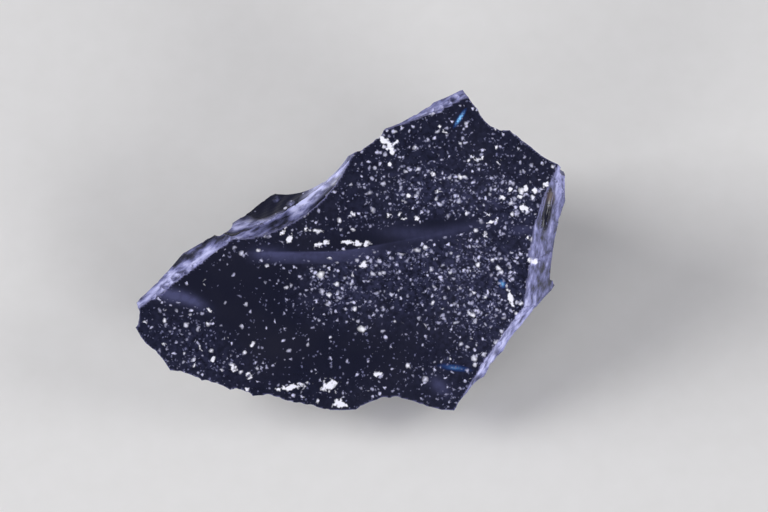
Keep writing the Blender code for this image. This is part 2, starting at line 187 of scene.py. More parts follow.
FLAKES = (
    Flake("back_left_flake", "wall_back", 9.5, 13.0, 22.0, 2.4, 0.06),
    Flake("back_flake", "wall_back", 24.0, 15.5, 30.0, 3.4, 0.10),
    Flake("back_low_flake", "wall_back", 16.5, 26.0, 16.0, 3.0),
    Flake("back_corner_flake", "wall_back", 35.0, 21.0, 24.0, 3.4, 0.06),
    Flake("lens_corner_flake", "wall_back", 1.0, 20.0, 18.0, 3.0),
    Flake("back_right_flake", "wall_back_right", 10.5, 9.5, 26.0, 2.0, 0.06),
    Flake("back_right_low_flake", "wall_back_right", 15.0, 22.0, 18.0, 2.8),
    Flake("right_flake", "wall_right", 2.0, 10.0, 18.0, 2.2),
    Flake("right_low_flake", "wall_right", 15.5, 10.5, 18.0, 2.2, 0.05),
    Flake("lower_right_flake", "wall_lower_right", 8.5, 8.5, 17.0, 2.0, 0.05),
    Flake("lower_right_low_flake", "wall_lower_right", 18.0, 6.5, 12.0, 1.5),
    Flake("front_flake", "wall_front_left", 7.0, 6.5, 12.0, 1.6),
    Flake("left_front_flake", "wall_left_front", 9.0, 7.5, 12.0, 1.7),
    Flake("left_flake", "wall_left", 5.0, 9.0, 12.0, 1.9),
    Flake("tip_back_flake", "wall_tip_back", 4.0, 10.0, 15.0, 2.0),
    Flake("left_back_flake", "wall_left_back", 6.0, 12.0, 20.0, 2.6, 0.05),
    Flake("lens_flake", "wall_lens", 6.0, 8.0, 18.0, 1.6),
)
# The length of those broad ripples, and how far the bowl rises past the wall before it stops.
RIPPLE_LENGTH = 4.4
FLAKE_CLEAR = 1.6

# The low step across the broad face: the part above it is sunk behind a curved riser.
# Its foot runs level, bends and then climbs; it grows from its left end and fades to the right.
RISER_LEVEL = -0.5
RISER_BEND = -1.2
RISER_BEND_LENGTH = 2.0
RISER_RISE = 0.194
RISER_WIDTH = 1.7
RISER_START = -16.0
RISER_FULL = 4.0
RISER_DEPTH = 0.9
RISER_FADE = 15.0
RISER_LOSS = 0.85
RISER_RECOVERY = 34.0
RISER_START_SLOPE = 0.2
RISER_CLEAR_SLOPE = 0.6
RISER_CLEAR = 1.0
RISER_LIFT = 0.1
# The mesh is closer on the riser: over this many of its widths, at this share of the usual spacing.
RISER_ROWS = 2.0
RISER_CLOSER = 0.8

# The painted sheen on the riser, a grey colour that stands in for the highlight along it: how far past its
# foot it ends, how full it swells, and the length over which it grows from the left. To the right it loses
# two shares: how much, from where and over which length.
PAINTED_SHEEN_END = 0.05
PAINTED_SHEEN_SWELL = 0.6
PAINTED_SHEEN_GROWTH = 5.0
PAINTED_SHEEN_LOSSES = ((0.75, 1.5, 4.0), (0.25, 8.0, 10.0))

# The pale ridge lines, partly bruised glass and partly a painted edge highlight, reach down to this far
# below the face, and nowhere this near to the foot of the riser.
RIDGE_DEPTH = 1.8
RISER_CLEAN = 0.5

# The frost of a rim fracture is full down to this far below the face, and ends this far below it.
RIM_FROST_FULL = 3.0
RIM_FROST_END = 6.0

# The fine ripples that run out from the blow on each kind of fracture: their height and length.
FINE_RIPPLES = {
    "face": (0.004, 5.2),
    "wall": (0.030, 3.4),
    "flake": (0.028, 2.3),
    "bevel": (0.020, 1.9),
    "rim": (0.012, 1.7),
}
# They come sooner and later by this angle, in waves of this many ripples. A sheet along the rim is sunk by
# this share of their height, which keeps their crests low.
RIPPLE_WANDER = 0.9
RIPPLE_WANDER_LENGTH = 2.3
RIPPLE_SHARE = 0.5

# A sheet has at least this many cells each way.
FEWEST_CELLS = 3

# The small chips along the rim and the bevels: one about every CHIP_SPACING, a ball of this radius, that
# bites this far in, with its middle this far down the wall. They are cut in rounds, so that none touch.
CHIP_SPACING = 1.3
CHIP_RADIUS = (0.5, 1.9)
CHIP_BITE = (0.05, 0.24)
CHIP_LEVEL = (-0.4, 1.1)
CHIP_ROUNDS = 3
# Where the first one of an edge is and how far the next one is from it, as shares of CHIP_SPACING.
CHIP_FIRST = (0.2, 0.8)
CHIP_GAP = (0.7, 1.6)
# How often the ball is subdivided. A point belongs to a chip if its distance to the ball is less than this
# share of its distance to the nearest fracture.
CHIP_DETAIL = 4
CHIP_CLAIM = 0.5
# The bevels whose upper edge is chipped as well, this much deeper because that edge is blunt.
CHIPPED_BEVELS = ("strip_bevel", "crest_bevel", "right_bevel", "right_bevel_low", "lower_right_bevel")
BEVEL_CHIP_BITE = 1.5

# How frosted each crushed bevel and ledge is: 1 is fully frosted, 0 is clear glass.
FROST = {
    "strip_bevel": 0.85,
    "neck_bevel": 0.80,
    "lens_bevel": 0.0,
    "right_bevel": 0.95,
    "right_bevel_low": 0.90,
    "lower_right_bevel": 0.85,
    "crest_bevel": 0.70,
    "right_slot": 0.05,
    "neck": 0.85,
    "right_high": 0.7,
    "right_middle": 0.7,
    "right_low": 0.6,
    "lower_right_high": 0.7,
    "lower_right_middle": 0.7,
    "lower_right_low": 0.7,
    "lower_right_foot": 0.7,
    "lower_right_end": 0.6,
}
FROST_OF_KIND = {"face": 0.0, "wall": 0.0, "flake": 0.0, "bevel": 0.6, "rim": 0.2, "chip": 0.3, "base": 0.3}
CRUSHED_KINDS = ("bevel", "rim", "chip")

# A soft mark, seen square to the broad face: where its middle is, half its length, half its width, the way
# it runs in degrees from across, and how strong it is. MARK_FALL: how fast it falls off, like a bell.
Mark = namedtuple("Mark", "across up half_length half_width turn strength", defaults=(0.0, 1.0))
MARK_FALL = 0.8

# Where crushed glass is more frosted than its bevel, or less.
FROST_MARKS = (
    Mark(-16.4, 4.2, 1.6, 0.8, 15, 0.75),
    Mark(-17.2, 3.4, 1.8, 0.4, 10, 0.9),
    Mark(-13.9, 4.1, 1.6, 0.35, 18, 0.9),
    Mark(-11.2, 5.2, 1.5, 0.35, 28, 0.7),
    Mark(-11.2, 7.7, 0.35, 0.25, 20, 1.6),
    Mark(-9.1, 7.1, 0.35, 0.25, 0, 1.6),
    Mark(-11.0, 4.4, 3.0, 1.0, 24, -0.45),
    Mark(-12.0, 6.6, 3.6, 1.0, 24, -0.5),
    Mark(-4.2, 7.4, 4.6, 0.7, 48, -1.2),
    Mark(-3.4, 11.2, 3.6, 0.5, 40),
    Mark(-26.0, -1.6, 1.2, 0.5, 36, -0.5),
    Mark(-23.8, -0.6, 1.1, 0.5, 36, -0.5),
    Mark(-21.5, 1.4, 1.5, 0.5, 30, -0.6),
    Mark(-19.4, 1.9, 0.8, 0.5, 30, -0.5),
    Mark(30.0, 6.0, 2.6, 0.5, 80, -2.0),
    Mark(22.1, -15.4, 0.6, 0.3, 40, -0.6),
    Mark(19.1, -19.4, 0.6, 0.3, 40, -0.6),
)

# Where the frost is lighter than elsewhere, or darker: partly its own mottled tone, partly painted light
# and shade that stand in for how the lamps fall on the bevels, the slot and the scallop.
PAINTED_LIGHT_TONE_MARKS = (
    Mark(-27.6, -4.6, 3.0, 0.55, 42, 1.2),
    Mark(-22.8, -1.3, 2.4, 0.35, 36, 0.8),
    Mark(-32.0, -8.2, 0.5, 0.4, 0, 1.2),
    Mark(-26.0, -1.5, 1.2, 0.5, 36, -2.0),
    Mark(-23.8, -0.6, 1.1, 0.5, 36, -1.6),
    Mark(-21.5, 1.4, 1.5, 0.5, 30, -2.0),
    Mark(-19.4, 1.9, 0.8, 0.5, 30, -1.6),
    Mark(-25.4, -2.7, 0.9, 0.25, 25, -1.0),
    Mark(-22.5, -1.2, 2.4, 0.5, 36, 0.6),
    Mark(-18.3, 1.2, 1.7, 0.5, 30, 0.4),
    Mark(-14.8, 2.8, 1.6, 0.4, 20, 0.5),
    Mark(-15.8, 3.1, 1.3, 0.25, 15, -0.9),
    Mark(-17.2, 3.4, 1.8, 0.35, 10),
    Mark(-13.9, 4.1, 1.6, 0.35, 18),
    Mark(-11.2, 5.2, 1.4, 0.35, 28, 0.7),
    Mark(-16.1, 4.3, 1.4, 0.8, 15),
    Mark(-15.0, 5.1, 0.35, 0.3, 0, 0.9),
    Mark(-11.0, 4.2, 3.2, 1.1, 22, -1.2),
    Mark(-6.4, 8.0, 3.2, 0.7, 42, 1.7),
    Mark(-8.0, 5.8, 1.2, 0.6, 45, 0.4),
    Mark(-4.0, 10.7, 4.0, 0.6, 42, 1.4),
    Mark(22.6, -14.0, 7.5, 0.8, 55, 1.2),
    Mark(12.4, 20.9, 3.6, 0.6, 30, 0.5),
    Mark(31.8, 10.9, 1.7, 0.7, 88, 0.9),
    Mark(32.2, 6.8, 2.2, 0.9, 80, -0.5),
    Mark(30.0, 5.9, 2.6, 0.5, 80, -1.6),
    Mark(29.6, 0.6, 3.0, 1.6, 85, -0.7),
    Mark(27.8, -1.7, 0.55, 0.4, 20, 2.0),
    Mark(29.7, -4.9, 2.2, 1.3, 80, -1.6),
    Mark(22.1, -15.4, 0.6, 0.3, 40, -1.4),
    Mark(19.1, -19.4, 0.6, 0.3, 40, -1.4),
)

# A brown stain in the slot of the right bevel.
STAINS = (Mark(30.3, 8.1, 0.7, 0.5, 80, 0.7),)

# Thick white dust and bubbles that have been broken open, and one painted highlight.
WHITE_PATCHES = (
    Mark(4.9, 16.7, 1.0, 0.7, -40),
    Mark(6.0, 15.6, 0.9, 0.6, -60),
    Mark(7.0, 16.4, 0.5, 0.4, 60),
    Mark(6.2, 14.8, 0.5, 0.4),
    Mark(6.0, 13.0, 0.45, 0.45),
    Mark(-9.1, 1.7, 0.8, 0.6, 60),
    Mark(-10.2, 2.7, 0.8, 0.3, 55),
    Mark(-6.6, 3.1, 0.6, 0.3),
    Mark(-4.8, 2.9, 0.9, 0.35, -10),
    Mark(-4.9, 0.8, 0.7, 0.45, 30),
    Mark(-3.7, 1.2, 0.7, 0.4),
    Mark(-0.4, 1.2, 1.1, 0.4, -5),
    Mark(1.3, 1.0, 0.8, 0.45),
    Mark(2.5, 0.9, 0.7, 0.5, 20),
    Mark(2.1, -2.2, 0.8, 0.5, 20),
    Mark(23.0, 7.9, 0.5, 0.4),
    Mark(24.3, 9.1, 0.45, 0.4),
    Mark(25.6, 7.9, 0.5, 0.45),
    Mark(26.6, 9.4, 0.5, 0.45),
    Mark(27.8, 8.9, 0.5, 0.45, 30),
    Mark(29.6, 9.8, 0.6, 0.4, 50),
    Mark(26.3, 6.2, 0.8, 0.7),
    # A painted highlight: a thin white dash that stands in for light on the face.
    Mark(21.5, 4.3, 1.5, 0.22, 20),
    Mark(18.9, 13.8, 0.7, 0.25, -35),
    Mark(19.9, 13.9, 0.6, 0.22, 55),
    Mark(12.5, 11.5, 0.4, 0.35, 0, 0.8),
    Mark(13.3, 8.9, 0.4, 0.35, 0, 0.8),
    Mark(10.0, 4.8, 0.45, 0.4, 0, 0.9),
    Mark(8.2, 4.8, 0.4, 0.3, 0, 0.8),
    Mark(5.9, 5.3, 0.4, 0.35, 0, 0.7),
    Mark(0.5, 5.6, 0.4, 0.4, 0, 0.8),
    Mark(8.9, 8.3, 0.5, 0.3, -30, 0.8),
    Mark(14.4, 17.8, 0.45, 0.3, 0, 0.8),
    Mark(13.5, 18.7, 0.35, 0.3, 0, 0.7),
    Mark(20.3, 2.4, 0.4, 0.4, 0, 0.8),
    Mark(26.7, 1.9, 0.35, 0.35, 0, 0.8),
    Mark(-21.2, -9.1, 0.7, 0.25, -35),
    Mark(24.3, -7.5, 2.2, 0.42, -72),
    Mark(-22.57, -14.8, 0.6, 0.25, -60),
    Mark(-20.62, -16.53, 0.75, 0.3, 60),
    Mark(-23.65, -17.28, 0.5, 0.3, 60, 0.8),
    Mark(-28.29, -14.15, 0.45, 0.35, 0, 0.7),
    Mark(-14.58, -14.26, 0.5, 0.4, 0, 0.7),
    Mark(-17.49, -17.83, 0.6, 0.6, 0, 0.6),
    Mark(-15.23, -19.0, 0.6, 0.45, 20, 0.7),
    Mark(-15.66, -20.96, 0.4, 0.45),
    Mark(-8.8, -20.7, 2.8, 0.45, 12),
    Mark(-3.1, -20.6, 1.3, 1.0, 10),
    Mark(-1.5, -23.2, 1.1, 0.8),
    Mark(27.3, -1.6, 0.55, 0.5),
    Mark(28.1, -1.7, 0.5, 0.5),
    Mark(4.2, -18.7, 0.75, 0.6),
)

# Painted sheen: soft grey marks that stand in for highlights on the broad face.
PAINTED_SHEEN_MARKS = (
    Mark(-27.3, -6.8, 2.2, 0.8, -14, 1.2),
    Mark(-23.8, -7.7, 2.0, 0.7, -26),
    Mark(-12.5, -0.3, 2.2, 0.7, 0, 0.5),
    Mark(9.0, 2.6, 4.0, 0.9, -4, 0.35),
    Mark(17.0, 3.2, 5.0, 0.8, 10, 0.35),
    Mark(26.5, 3.1, 2.0, 0.6, 0, 0.5),
    Mark(13.6, -20.6, 1.6, 0.8, -40, 0.7),
)

# Narrow blue flashes: painted iridescent glints on thin cracks in the glass.
BLUE_GLINTS = (
    Mark(16.6, 19.9, 2.1, 0.42, 57),
    Mark(15.8, -17.8, 3.0, 0.6, -8, 0.5),
    Mark(23.0, -5.1, 0.9, 0.7, -60, 0.75),
)

# How thick the dust lies on the broad face: more near these places, less near the ones below zero.
DUST_ZONES = (
    Mark(12.0, 10.0, 11.0, 7.0, 25, 0.26),
    Mark(24.0, 7.0, 6.0, 3.5, 0, 0.35),
    Mark(12.0, -3.5, 15.0, 5.0, 8, 0.38),
    Mark(21.0, -8.0, 8.0, 7.0, -50, 0.55),
    Mark(-23.0, -15.0, 7.0, 4.0, -30, 0.45),
    Mark(15.0, -18.0, 7.0, 4.0, -30, 0.10),
    Mark(-2.0, -6.0, 8.0, 4.5, 0, 0.40),
    Mark(9.0, 2.4, 8.5, 1.2, 8, -1.5),
    Mark(8.0, -1.1, 6.5, 0.8, 10, 0.7),
    Mark(14.0, 8.5, 8.0, 2.4, -6, 0.35),
    Mark(-19.0, -5.0, 9.0, 4.0, 0, -0.32),
    Mark(-12.0, -13.0, 10.0, 5.0, 0, -0.25),
    Mark(-9.0, -4.0, 4.0, 4.0, 0, -0.20),
    Mark(5.0, -15.0, 8.0, 4.0, 0, -0.15),
)
# How thick it lies elsewhere, and how thick dust and the painted sheen can get.
DUST_BASE = 0.38
DUST_MOST = 1.3
PAINTED_SHEEN_MOST = 1.5

# The specks of one size: the net of cells that may hold one each, the share of them that do where the dust
# is thick, their smallest and largest radius as a share of the cell, how crisp their outline is, and their
# darkest and lightest colour. The real ones go down to 0.02 mm: the finest here are as coarse as they show.
Speck = namedtuple("Speck", "cell filled small large crisp dark light")

FACE_SPECKS = (
    Speck(0.40, 0.50, 0.24, 0.52, 3.0, "33354f", "6c6e92"),
    Speck(0.70, 0.52, 0.22, 0.48, 3.0, "44466a", "d4d4f4"),
    Speck(1.15, 0.36, 0.18, 0.38, 3.8, "7c7ea6", "f0f0ff"),
    Speck(2.60, 0.20, 0.11, 0.25, 5.5, "b4b4d8", "f6f6ff"),
)
WALL_SPECKS = (
    Speck(0.70, 0.10, 0.12, 0.34, 7.0, "3c3d58", "a8a8c8"),
    Speck(2.40, 0.14, 0.08, 0.20, 16.0, "8888a8", "e8e8f8"),
)
# Most specks of a size are small, and the large ones are the lightest.
SPECK_SIZE_POWER = 1.3
SPECK_LIGHT_SHARE = 0.62
SPECK_LIGHT_POWER = 1.4
# How far the outlines of the specks are shaken, twice: the grain of each shake and how far it goes.
SPECK_SHAKES = ((1.0, 0.9), (0.30, 0.22))

# A pattern of noise: its grain in millimetres, its detail, and how it is stretched, from two values of it
# to two shares.
Pattern = namedtuple("Pattern", "grain detail stretch")

CLOUDS = Pattern(9.0, 3.0, (0.4, 0.75, 0.0, 1.0))
PAINTED_SHEEN_PATCHES = Pattern(0.8, 4.0, (0.3, 0.7, 0.7, 1.1))
HAZE = Pattern(0.7, 3.0, (0.38, 0.66, 0.0, 1.0))
DRIFTS = Pattern(2.4, 2.0, (0.36, 0.64, 0.25, 1.65))

# The haze grows with the dust. The painted sheen leaves little room for specks.
HAZE_BY_DUST = (0.25, 1.0, 0.0, 0.75)
SPECKS_BY_PAINTED_SHEEN = (0.2, 0.7, 1.0, 0.15)

# The frost: its streaks, how much a mark of painted light and tone lightens it, and how the streaks break
# it up.
STREAK_NOISE = {"Scale": 1.3, "Detail": 4.0, "Roughness": 0.53}
PAINTED_LIGHT_TONE_WEIGHT = 0.16
FROST_BY_STREAKS = (0.30, 0.52, 0.55, 1.3)

# Pale ridge lines, partly bruising and partly a painted edge highlight: how thin their line is, and how
# strong.
RIDGE_POWER = 1.6
RIDGE_STRENGTH = 1.5

# A blue flash, a painted glint: how strong it is, and how small its light core.
FLASH_STRENGTH = 1.6
FLASH_CORE_POWER = 2.5

# A white patch: the noise that tears its outline and how far, where its edge is, where its last scraps fade
# out, and how soon it is lost where the frost is thin.
TORN_NOISE = {"Scale": 1 / (0.6 * MM), "Detail": 2.0}
TORN_WEIGHT = 2.4
PATCH_EDGE = (1.25, 1.65, 0.0, 1.0)
PATCH_REACH = (-0.6, -0.3, 0.0, 1.0)
PATCH_FROST_POWER = 3.0

# The colours of what lies in and on the glass, as sRGB hex values.
CLOUD_COLOUR = "1f202f"
HAZE_COLOUR = "393b58"
PAINTED_SHEEN_COLOUR = "4a4c70"
STAIN_COLOUR = "5a4440"
RIDGE_LINE_COLOUR = "7c7ca8"
WHITE_COLOUR = "f2f2ff"
FLASH_COLOURS = ("1a4292", "84c4f8")
FROST_COLOURS = ((0.26, "26273a"), (0.40, "565882"), (0.54, "8284b6"), (0.76, "c2c4ee"))

# How much duller than clear glass it is under frost, the painted sheen, the stain and dust.
FROST_DULLS = 0.38
PAINTED_SHEEN_DULLS = 0.12
STAIN_DULLS = 0.5
DUST_DULLS = 0.4

# The relief: the waves of the rings round a blow, and how many millimetres the rings, the streaks and the
# grain of the frost, and the dust stand out.
RING_WAVES = {"Scale": 0.55, "Distortion": 1.5, "Detail": 1.0, "Detail Scale": 0.6}
RING_RELIEF = 0.006
STREAK_RELIEF = 0.12
GRAIN_RELIEF = 0.05
DUST_RELIEF = 0.02

# The refractive index of obsidian.
GLASS_IOR = 1.5

# A soft square lamp: the way from the lump to it, how far away it is, and its size and power.
Lamp = namedtuple("Lamp", "name way distance size power")

# The lamps stand low, because the broad face would mirror a high one to the front and to both sides.
LAMPS = (
    Lamp("left_window", (-0.94, 0.12, 0.33), 2.0, 1.15, 47.5),
    Lamp("right_window", (0.93, 0.10, 0.33), 1.75, 0.95, 12.5),
    Lamp("front_right_window", (0.60, -0.78, 0.30), 2.0, 0.95, 21.2),
    Lamp("front_left_window", (-0.60, -0.75, 0.30), 2.1, 0.95, 13.6),
)
# The point that they all face.
LAMP_TARGET = Vector((0.0, 0.0, 0.012))

# The sheet of paper under the lump.
FLOOR_SIZE = 8.0
PAPER_NOISE = {"Scale": 1 / (4.0 * MM), "Detail": 4.0}
PAPER_COLOURS = ("ecebe9", "f2f1f0")
PAPER_ROUGHNESS = 0.8
PAPER_SPECULAR = 0.2

# The light of the room, from low down all round to overhead.
ROOM = (
    (0.02, (0.60, 0.60, 0.62, 1.0)),
    (0.25, (0.13, 0.13, 0.17, 1.0)),
    (0.75, (0.08, 0.08, 0.10, 1.0)),
)

# The middle of the picture, across and up the broad face in millimetres, and the width of the sensor.
PICTURE_MIDDLE = (5.14, -0.907)
SENSOR_WIDTH = 36.0


# What the settings for lengths have in common.
LENGTH = {"subtype": "DISTANCE", "unit": "LENGTH"}
SPACING = {"precision": 5, **LENGTH}


class ChunkSettings(bpy.types.PropertyGroup):
    """Sizes and colours of the glass."""

    face_step: FloatProperty(
        name="Face mesh",
        description="Spacing of the mesh on the broad face",
        default=0.34 * MM,
        min=0.2 * MM,
        **SPACING,
    )
    break_step: FloatProperty(
        name="Break mesh",
        description="Spacing of the mesh on the walls and flakes",
        default=0.65 * MM,
        min=0.3 * MM,
        **SPACING,
    )
    rim_step: FloatProperty(
        name="Rim mesh",
        description="Spacing of the mesh on the bevels and rim fractures",
        default=0.38 * MM,
        min=0.2 * MM,
        **SPACING,
    )
    chip_seed: IntProperty(
        name="Chip seed",
        description="Other numbers place the small chips of the rim differently",
        default=7,
        min=0,
    )
    glass_colour: FloatVectorProperty(
        name="Glass",
        description="Colour of the clear black glass",
        default=(0.0080, 0.0092, 0.0230),
        size=3,
        min=0.0,
        max=1.0,
        subtype="COLOR",
    )
    glass_roughness: FloatProperty(
        name="Glass roughness",
        description="How dull the clear glass is",
        default=0.14,
        min=0.0,
        max=1.0,
        subtype="FACTOR",
    )


class StageSettings(bpy.types.PropertyGroup):
    """Sizes of the stage."""

    camera_distance: FloatProperty(
        name="Camera distance",
        description="From the camera to the broad face",
        default=0.645,
        min=0.1,
        **LENGTH,
    )
    lens: FloatProperty(
        name="Lens",
        description="Focal length in millimetres on a 36 mm wide sensor",
        default=200.0,
        min=20.0,
    )
    light: FloatProperty(
        name="Light",
        description="Share of the usual power of all lamps",
        default=1.0,
        min=0.0,
        subtype="FACTOR",
        soft_max=2.0,
    )


# The shape of each fracture

# place: the frame of its sheet. columns, rows: where the points of the sheet are. height: how far out the
# sheet is there. back: how far out the flat back of its cutter is. blow: where on the sheet it was struck.
Fracture = namedtuple("Fracture", "name kind place columns rows height back blow")


def face_frame():
    """The frame of the broad face: columns across, up and out, origin in the middle of the face."""
    across = Vector((1.0, 0.0, 0.0))
    up = Vector((0.0, math.cos(FACE_SLOPE), math.sin(FACE_SLOPE)))
    out = across.cross(up)
    face = Matrix((across, up, out)).transposed().to_4x4()
    face.translation = FACE_MIDDLE
    return face


def frame_from(origin, across, outward):
    """A frame at origin with its z axis outward and its x axis as near to across as it can be."""
    outward = outward.normalized()
    side = (across - outward * across.dot(outward)).normalized()
    made = Matrix((side, outward.cross(side), outward)).transposed().to_4x4()
    made.translation = origin
    return made


def arc(distance, radius):
    """How far a circle has risen at this distance from its lowest point. Past its shoulder it is level."""
    reach = np.minimum(np.abs(distance), SHOULDER * radius)
    return radius - np.sqrt(radius * radius - reach * reach)


def arc_width(rise, radius):
    """How far from its lowest point a circle has risen this much, or its shoulder if that comes first."""
    left = max(radius - rise, 0.0)
    return min(math.sqrt(radius * radius - left * left), SHOULDER * radius)


def spaced(start, end, step):
    """Even positions from start to end, no further apart than step."""
    cells = max(FEWEST_CELLS, math.ceil((end - start) / step))
    return np.linspace(start, end, cells + 1)


def riser_foot(across):
    """How far up the face the foot of the riser runs, for a place across it."""
    past = across - RISER_BEND
    return RISER_LEVEL + RISER_RISE * (past + np.hypot(past, RISER_BEND_LENGTH)) / 2


def riser_depth(across):
    """How deep the step is: nothing at its left end, full near the middle, little at the right."""
    growth = (across - RISER_START) / (RISER_FULL - RISER_START)
    rising = RISER_DEPTH * np.sin(np.clip(growth, 0.0, 1.0) * math.pi / 2)
    fading = RISER_DEPTH * (1.0 - RISER_LOSS * np.clip((across - RISER_FULL) / RISER_FADE, 0.0, 1.0))
    return np.where(growth < 1.0, rising, fading)


def lower_face(across, up):
    """The broad face as the first blow left it: very slightly hollow."""
    return (across * across + up * up) / (2 * FACE_RADIUS) - FACE_SINK


def upper_face(across, up):
    """The second fracture, sunk behind the riser. Left of the riser it stays above the first."""
    past = up - riser_foot(across)
    fall = 1.0 + past / RISER_WIDTH
    riser = RISER_START_SLOPE * fall + (1.0 - RISER_START_SLOPE) * fall * fall
    behind = 1.0 - past / RISER_RECOVERY
    profile = np.where(fall < 0, RISER_CLEAR_SLOPE * fall, np.where(past < 0, riser, behind))
    sunk = lower_face(across, up) - riser_depth(across) * profile
    clear = lower_face(across, up) + np.minimum(RISER_CLEAR, RISER_LIFT * (RISER_START - across))
    return np.where(across < RISER_START, clear, sunk)


def ripples(kind, away):
    """The height of the fine ripples of this kind of fracture, this far away from the blow."""
    height, length = FINE_RIPPLES[kind]
    wander = RIPPLE_WANDER * np.sin(away / (RIPPLE_WANDER_LENGTH * length))
    return height * np.sin(math.tau * away / length + wander)


def on_face(place, level):
    """The point this far under the broad face, for a place (across, up) on it."""
    height = min(float(lower_face(*place)), float(upper_face(*place)))
    return Vector((*place, height - level))


def rim_place(face, rim):
    """The frame of one rim fracture, in the middle of its rim line, and half the length of that line."""
    start = on_face(rim.start, rim.level)
    end = on_face(rim.end, rim.level)
    along = (end - start).normalized()
    outward = Vector((-along.y, along.x, -math.tan(math.radians(rim.lean))))
    return face @ frame_from((start + end) / 2, along, outward), (end - start).length / 2


def rim_fracture(face, rim, kind, extent, step):
    """One fracture along the rim: a hollow sheet through both end points of its rim line."""
    place, half = rim_place(face, rim)
    radius = (half * half + rim.bite * rim.bite) / (2 * rim.bite)
    curl = rim.curl or radius
    base = float(arc(half, radius) + arc(rim.drop, curl))
    wide = min(half + extent.aside, arc_width(base + extent.clear, radius))
    run = arc_width(base + extent.clear, curl)
    deep = min(extent.down, rim.drop + run)
    above = min((extent.above + rim.level) / math.cos(math.radians(rim.lean)), run - rim.drop)
    blow = (BLOW_ASIDE * half, -min(above, BLOW_ABOVE))

    def height(x, y):
        away = np.hypot(x - blow[0], y - blow[1])
        hollow = arc(x, radius) + arc(y - rim.drop, curl) - base
        return hollow - RIPPLE_SHARE * FINE_RIPPLES[kind][0] + ripples(kind, away)

    columns = spaced(-wide, wide, step)
    rows = spaced(-above, deep, step)
    return Fracture(rim.name, kind, place, columns, rows, height, extent.reach, blow)


def flake_fracture(face, flake, step):
    """One wall flake: a round bowl, with ripples spreading from the blow at its upper edge."""
    wall = next(rim for rim in WALLS if rim.name == flake.wall)
    place, middle = rim_place(face, wall)
    place = place @ Matrix.Translation((flake.along - middle, flake.below, -flake.bite))
    half = arc_width(flake.bite + FLAKE_CLEAR, flake.radius)
    places = spaced(-half, half, step)

    def height(x, y):
        away = np.hypot(x, y + half)
        broad = flake.ripple * np.sin(math.tau * away / RIPPLE_LENGTH)
        return arc(np.hypot(x, y), flake.radius) + broad + ripples("flake", away)

    return Fracture(flake.name, "flake", place, places, places, height, flake.radius, (0.0, -half))


def fine_inside(low, high, fine_low, fine_high, step):
    """Positions from low to high that are close together only between fine_low and fine_high."""
    return np.concatenate(([low], spaced(fine_low, fine_high, step), [high]))


def face_fractures(face, step):
    """The two fractures of the broad face: the whole of it, and the part that is sunk behind the riser."""
    columns = fine_inside(-FACE_SIDE, FACE_SIDE, -FINE_SIDE, FINE_SIDE, step)
    rows = fine_inside(FACE_LOW, FACE_HIGH, FINE_LOW, FINE_HIGH, step)
    riser_rows = spaced(-RISER_ROWS * RISER_WIDTH, 0.0, RISER_CLOSER * step)
    upper_rows = np.concatenate(([FACE_LOW], riser_rows, spaced(step, FINE_HIGH, step), [FACE_HIGH]))

    def lower(x, y):
        return lower_face(x, y) + ripples("face", np.hypot(x - FACE_BLOW[0], y - FACE_BLOW[1]))

    def upper(x, y):
        return upper_face(x, y) + ripples("face", np.hypot(x - FACE_BLOW[0], y + FACE_BLOW[1]))

    return (
        Fracture("lower_face", "face", face, columns, rows, lower, FACE_REACH, FACE_BLOW),
        Fracture("upper_face", "face", face, columns, upper_rows, upper, FACE_REACH, FACE_BLOW),
    )


def all_fractures(settings):
    """Every fracture of the lump, the coarse ones first and the two of the broad face last."""
    face = face_frame()
    broad = settings.break_step / MM
    fine = settings.rim_step / MM
    found = [rim_fracture(face, rim, "wall", WALL_EXTENT, broad) for rim in WALLS]
    found += [flake_fracture(face, flake, broad) for flake in FLAKES]
    found += [rim_fracture(face, rim, "bevel", BEVEL_EXTENT, fine) for rim in BEVELS]
    found += [rim_fracture(face, rim, "rim", RIM_EXTENT, fine) for rim in RIMS]
    return found + list(face_fractures(face, settings.face_step / MM))


# Breaking the block


def deselect():
    """Leaves nothing selected, so that an operator acts on the new object alone."""
    if bpy.context.object and bpy.context.object.mode != "OBJECT":
        bpy.ops.object.mode_set(mode="OBJECT")
    bpy.ops.object.select_all(action="DESELECT")


def pick(thing):
    """Selects one object alone and makes it the active one."""
    deselect()
    thing.select_set(True)
    bpy.context.view_layer.objects.active = thing


def open_mesh():
    """Opens the active object in edit mode, with its whole mesh selected."""
    bpy.ops.object.mode_set(mode="EDIT")
    bpy.ops.mesh.select_all(action="SELECT")


def points_of(mesh):
    """The points of a mesh as rows of three numbers."""
    points = np.empty(len(mesh.vertices) * 3, np.float32)
    mesh.vertices.foreach_get("co", points)
    return points.reshape(-1, 3).astype(float)


def set_points(mesh, points):
    """Moves the points of a mesh."""
    mesh.vertices.foreach_set("co", np.ascontiguousarray(points, np.float32).ravel())
    mesh.update()


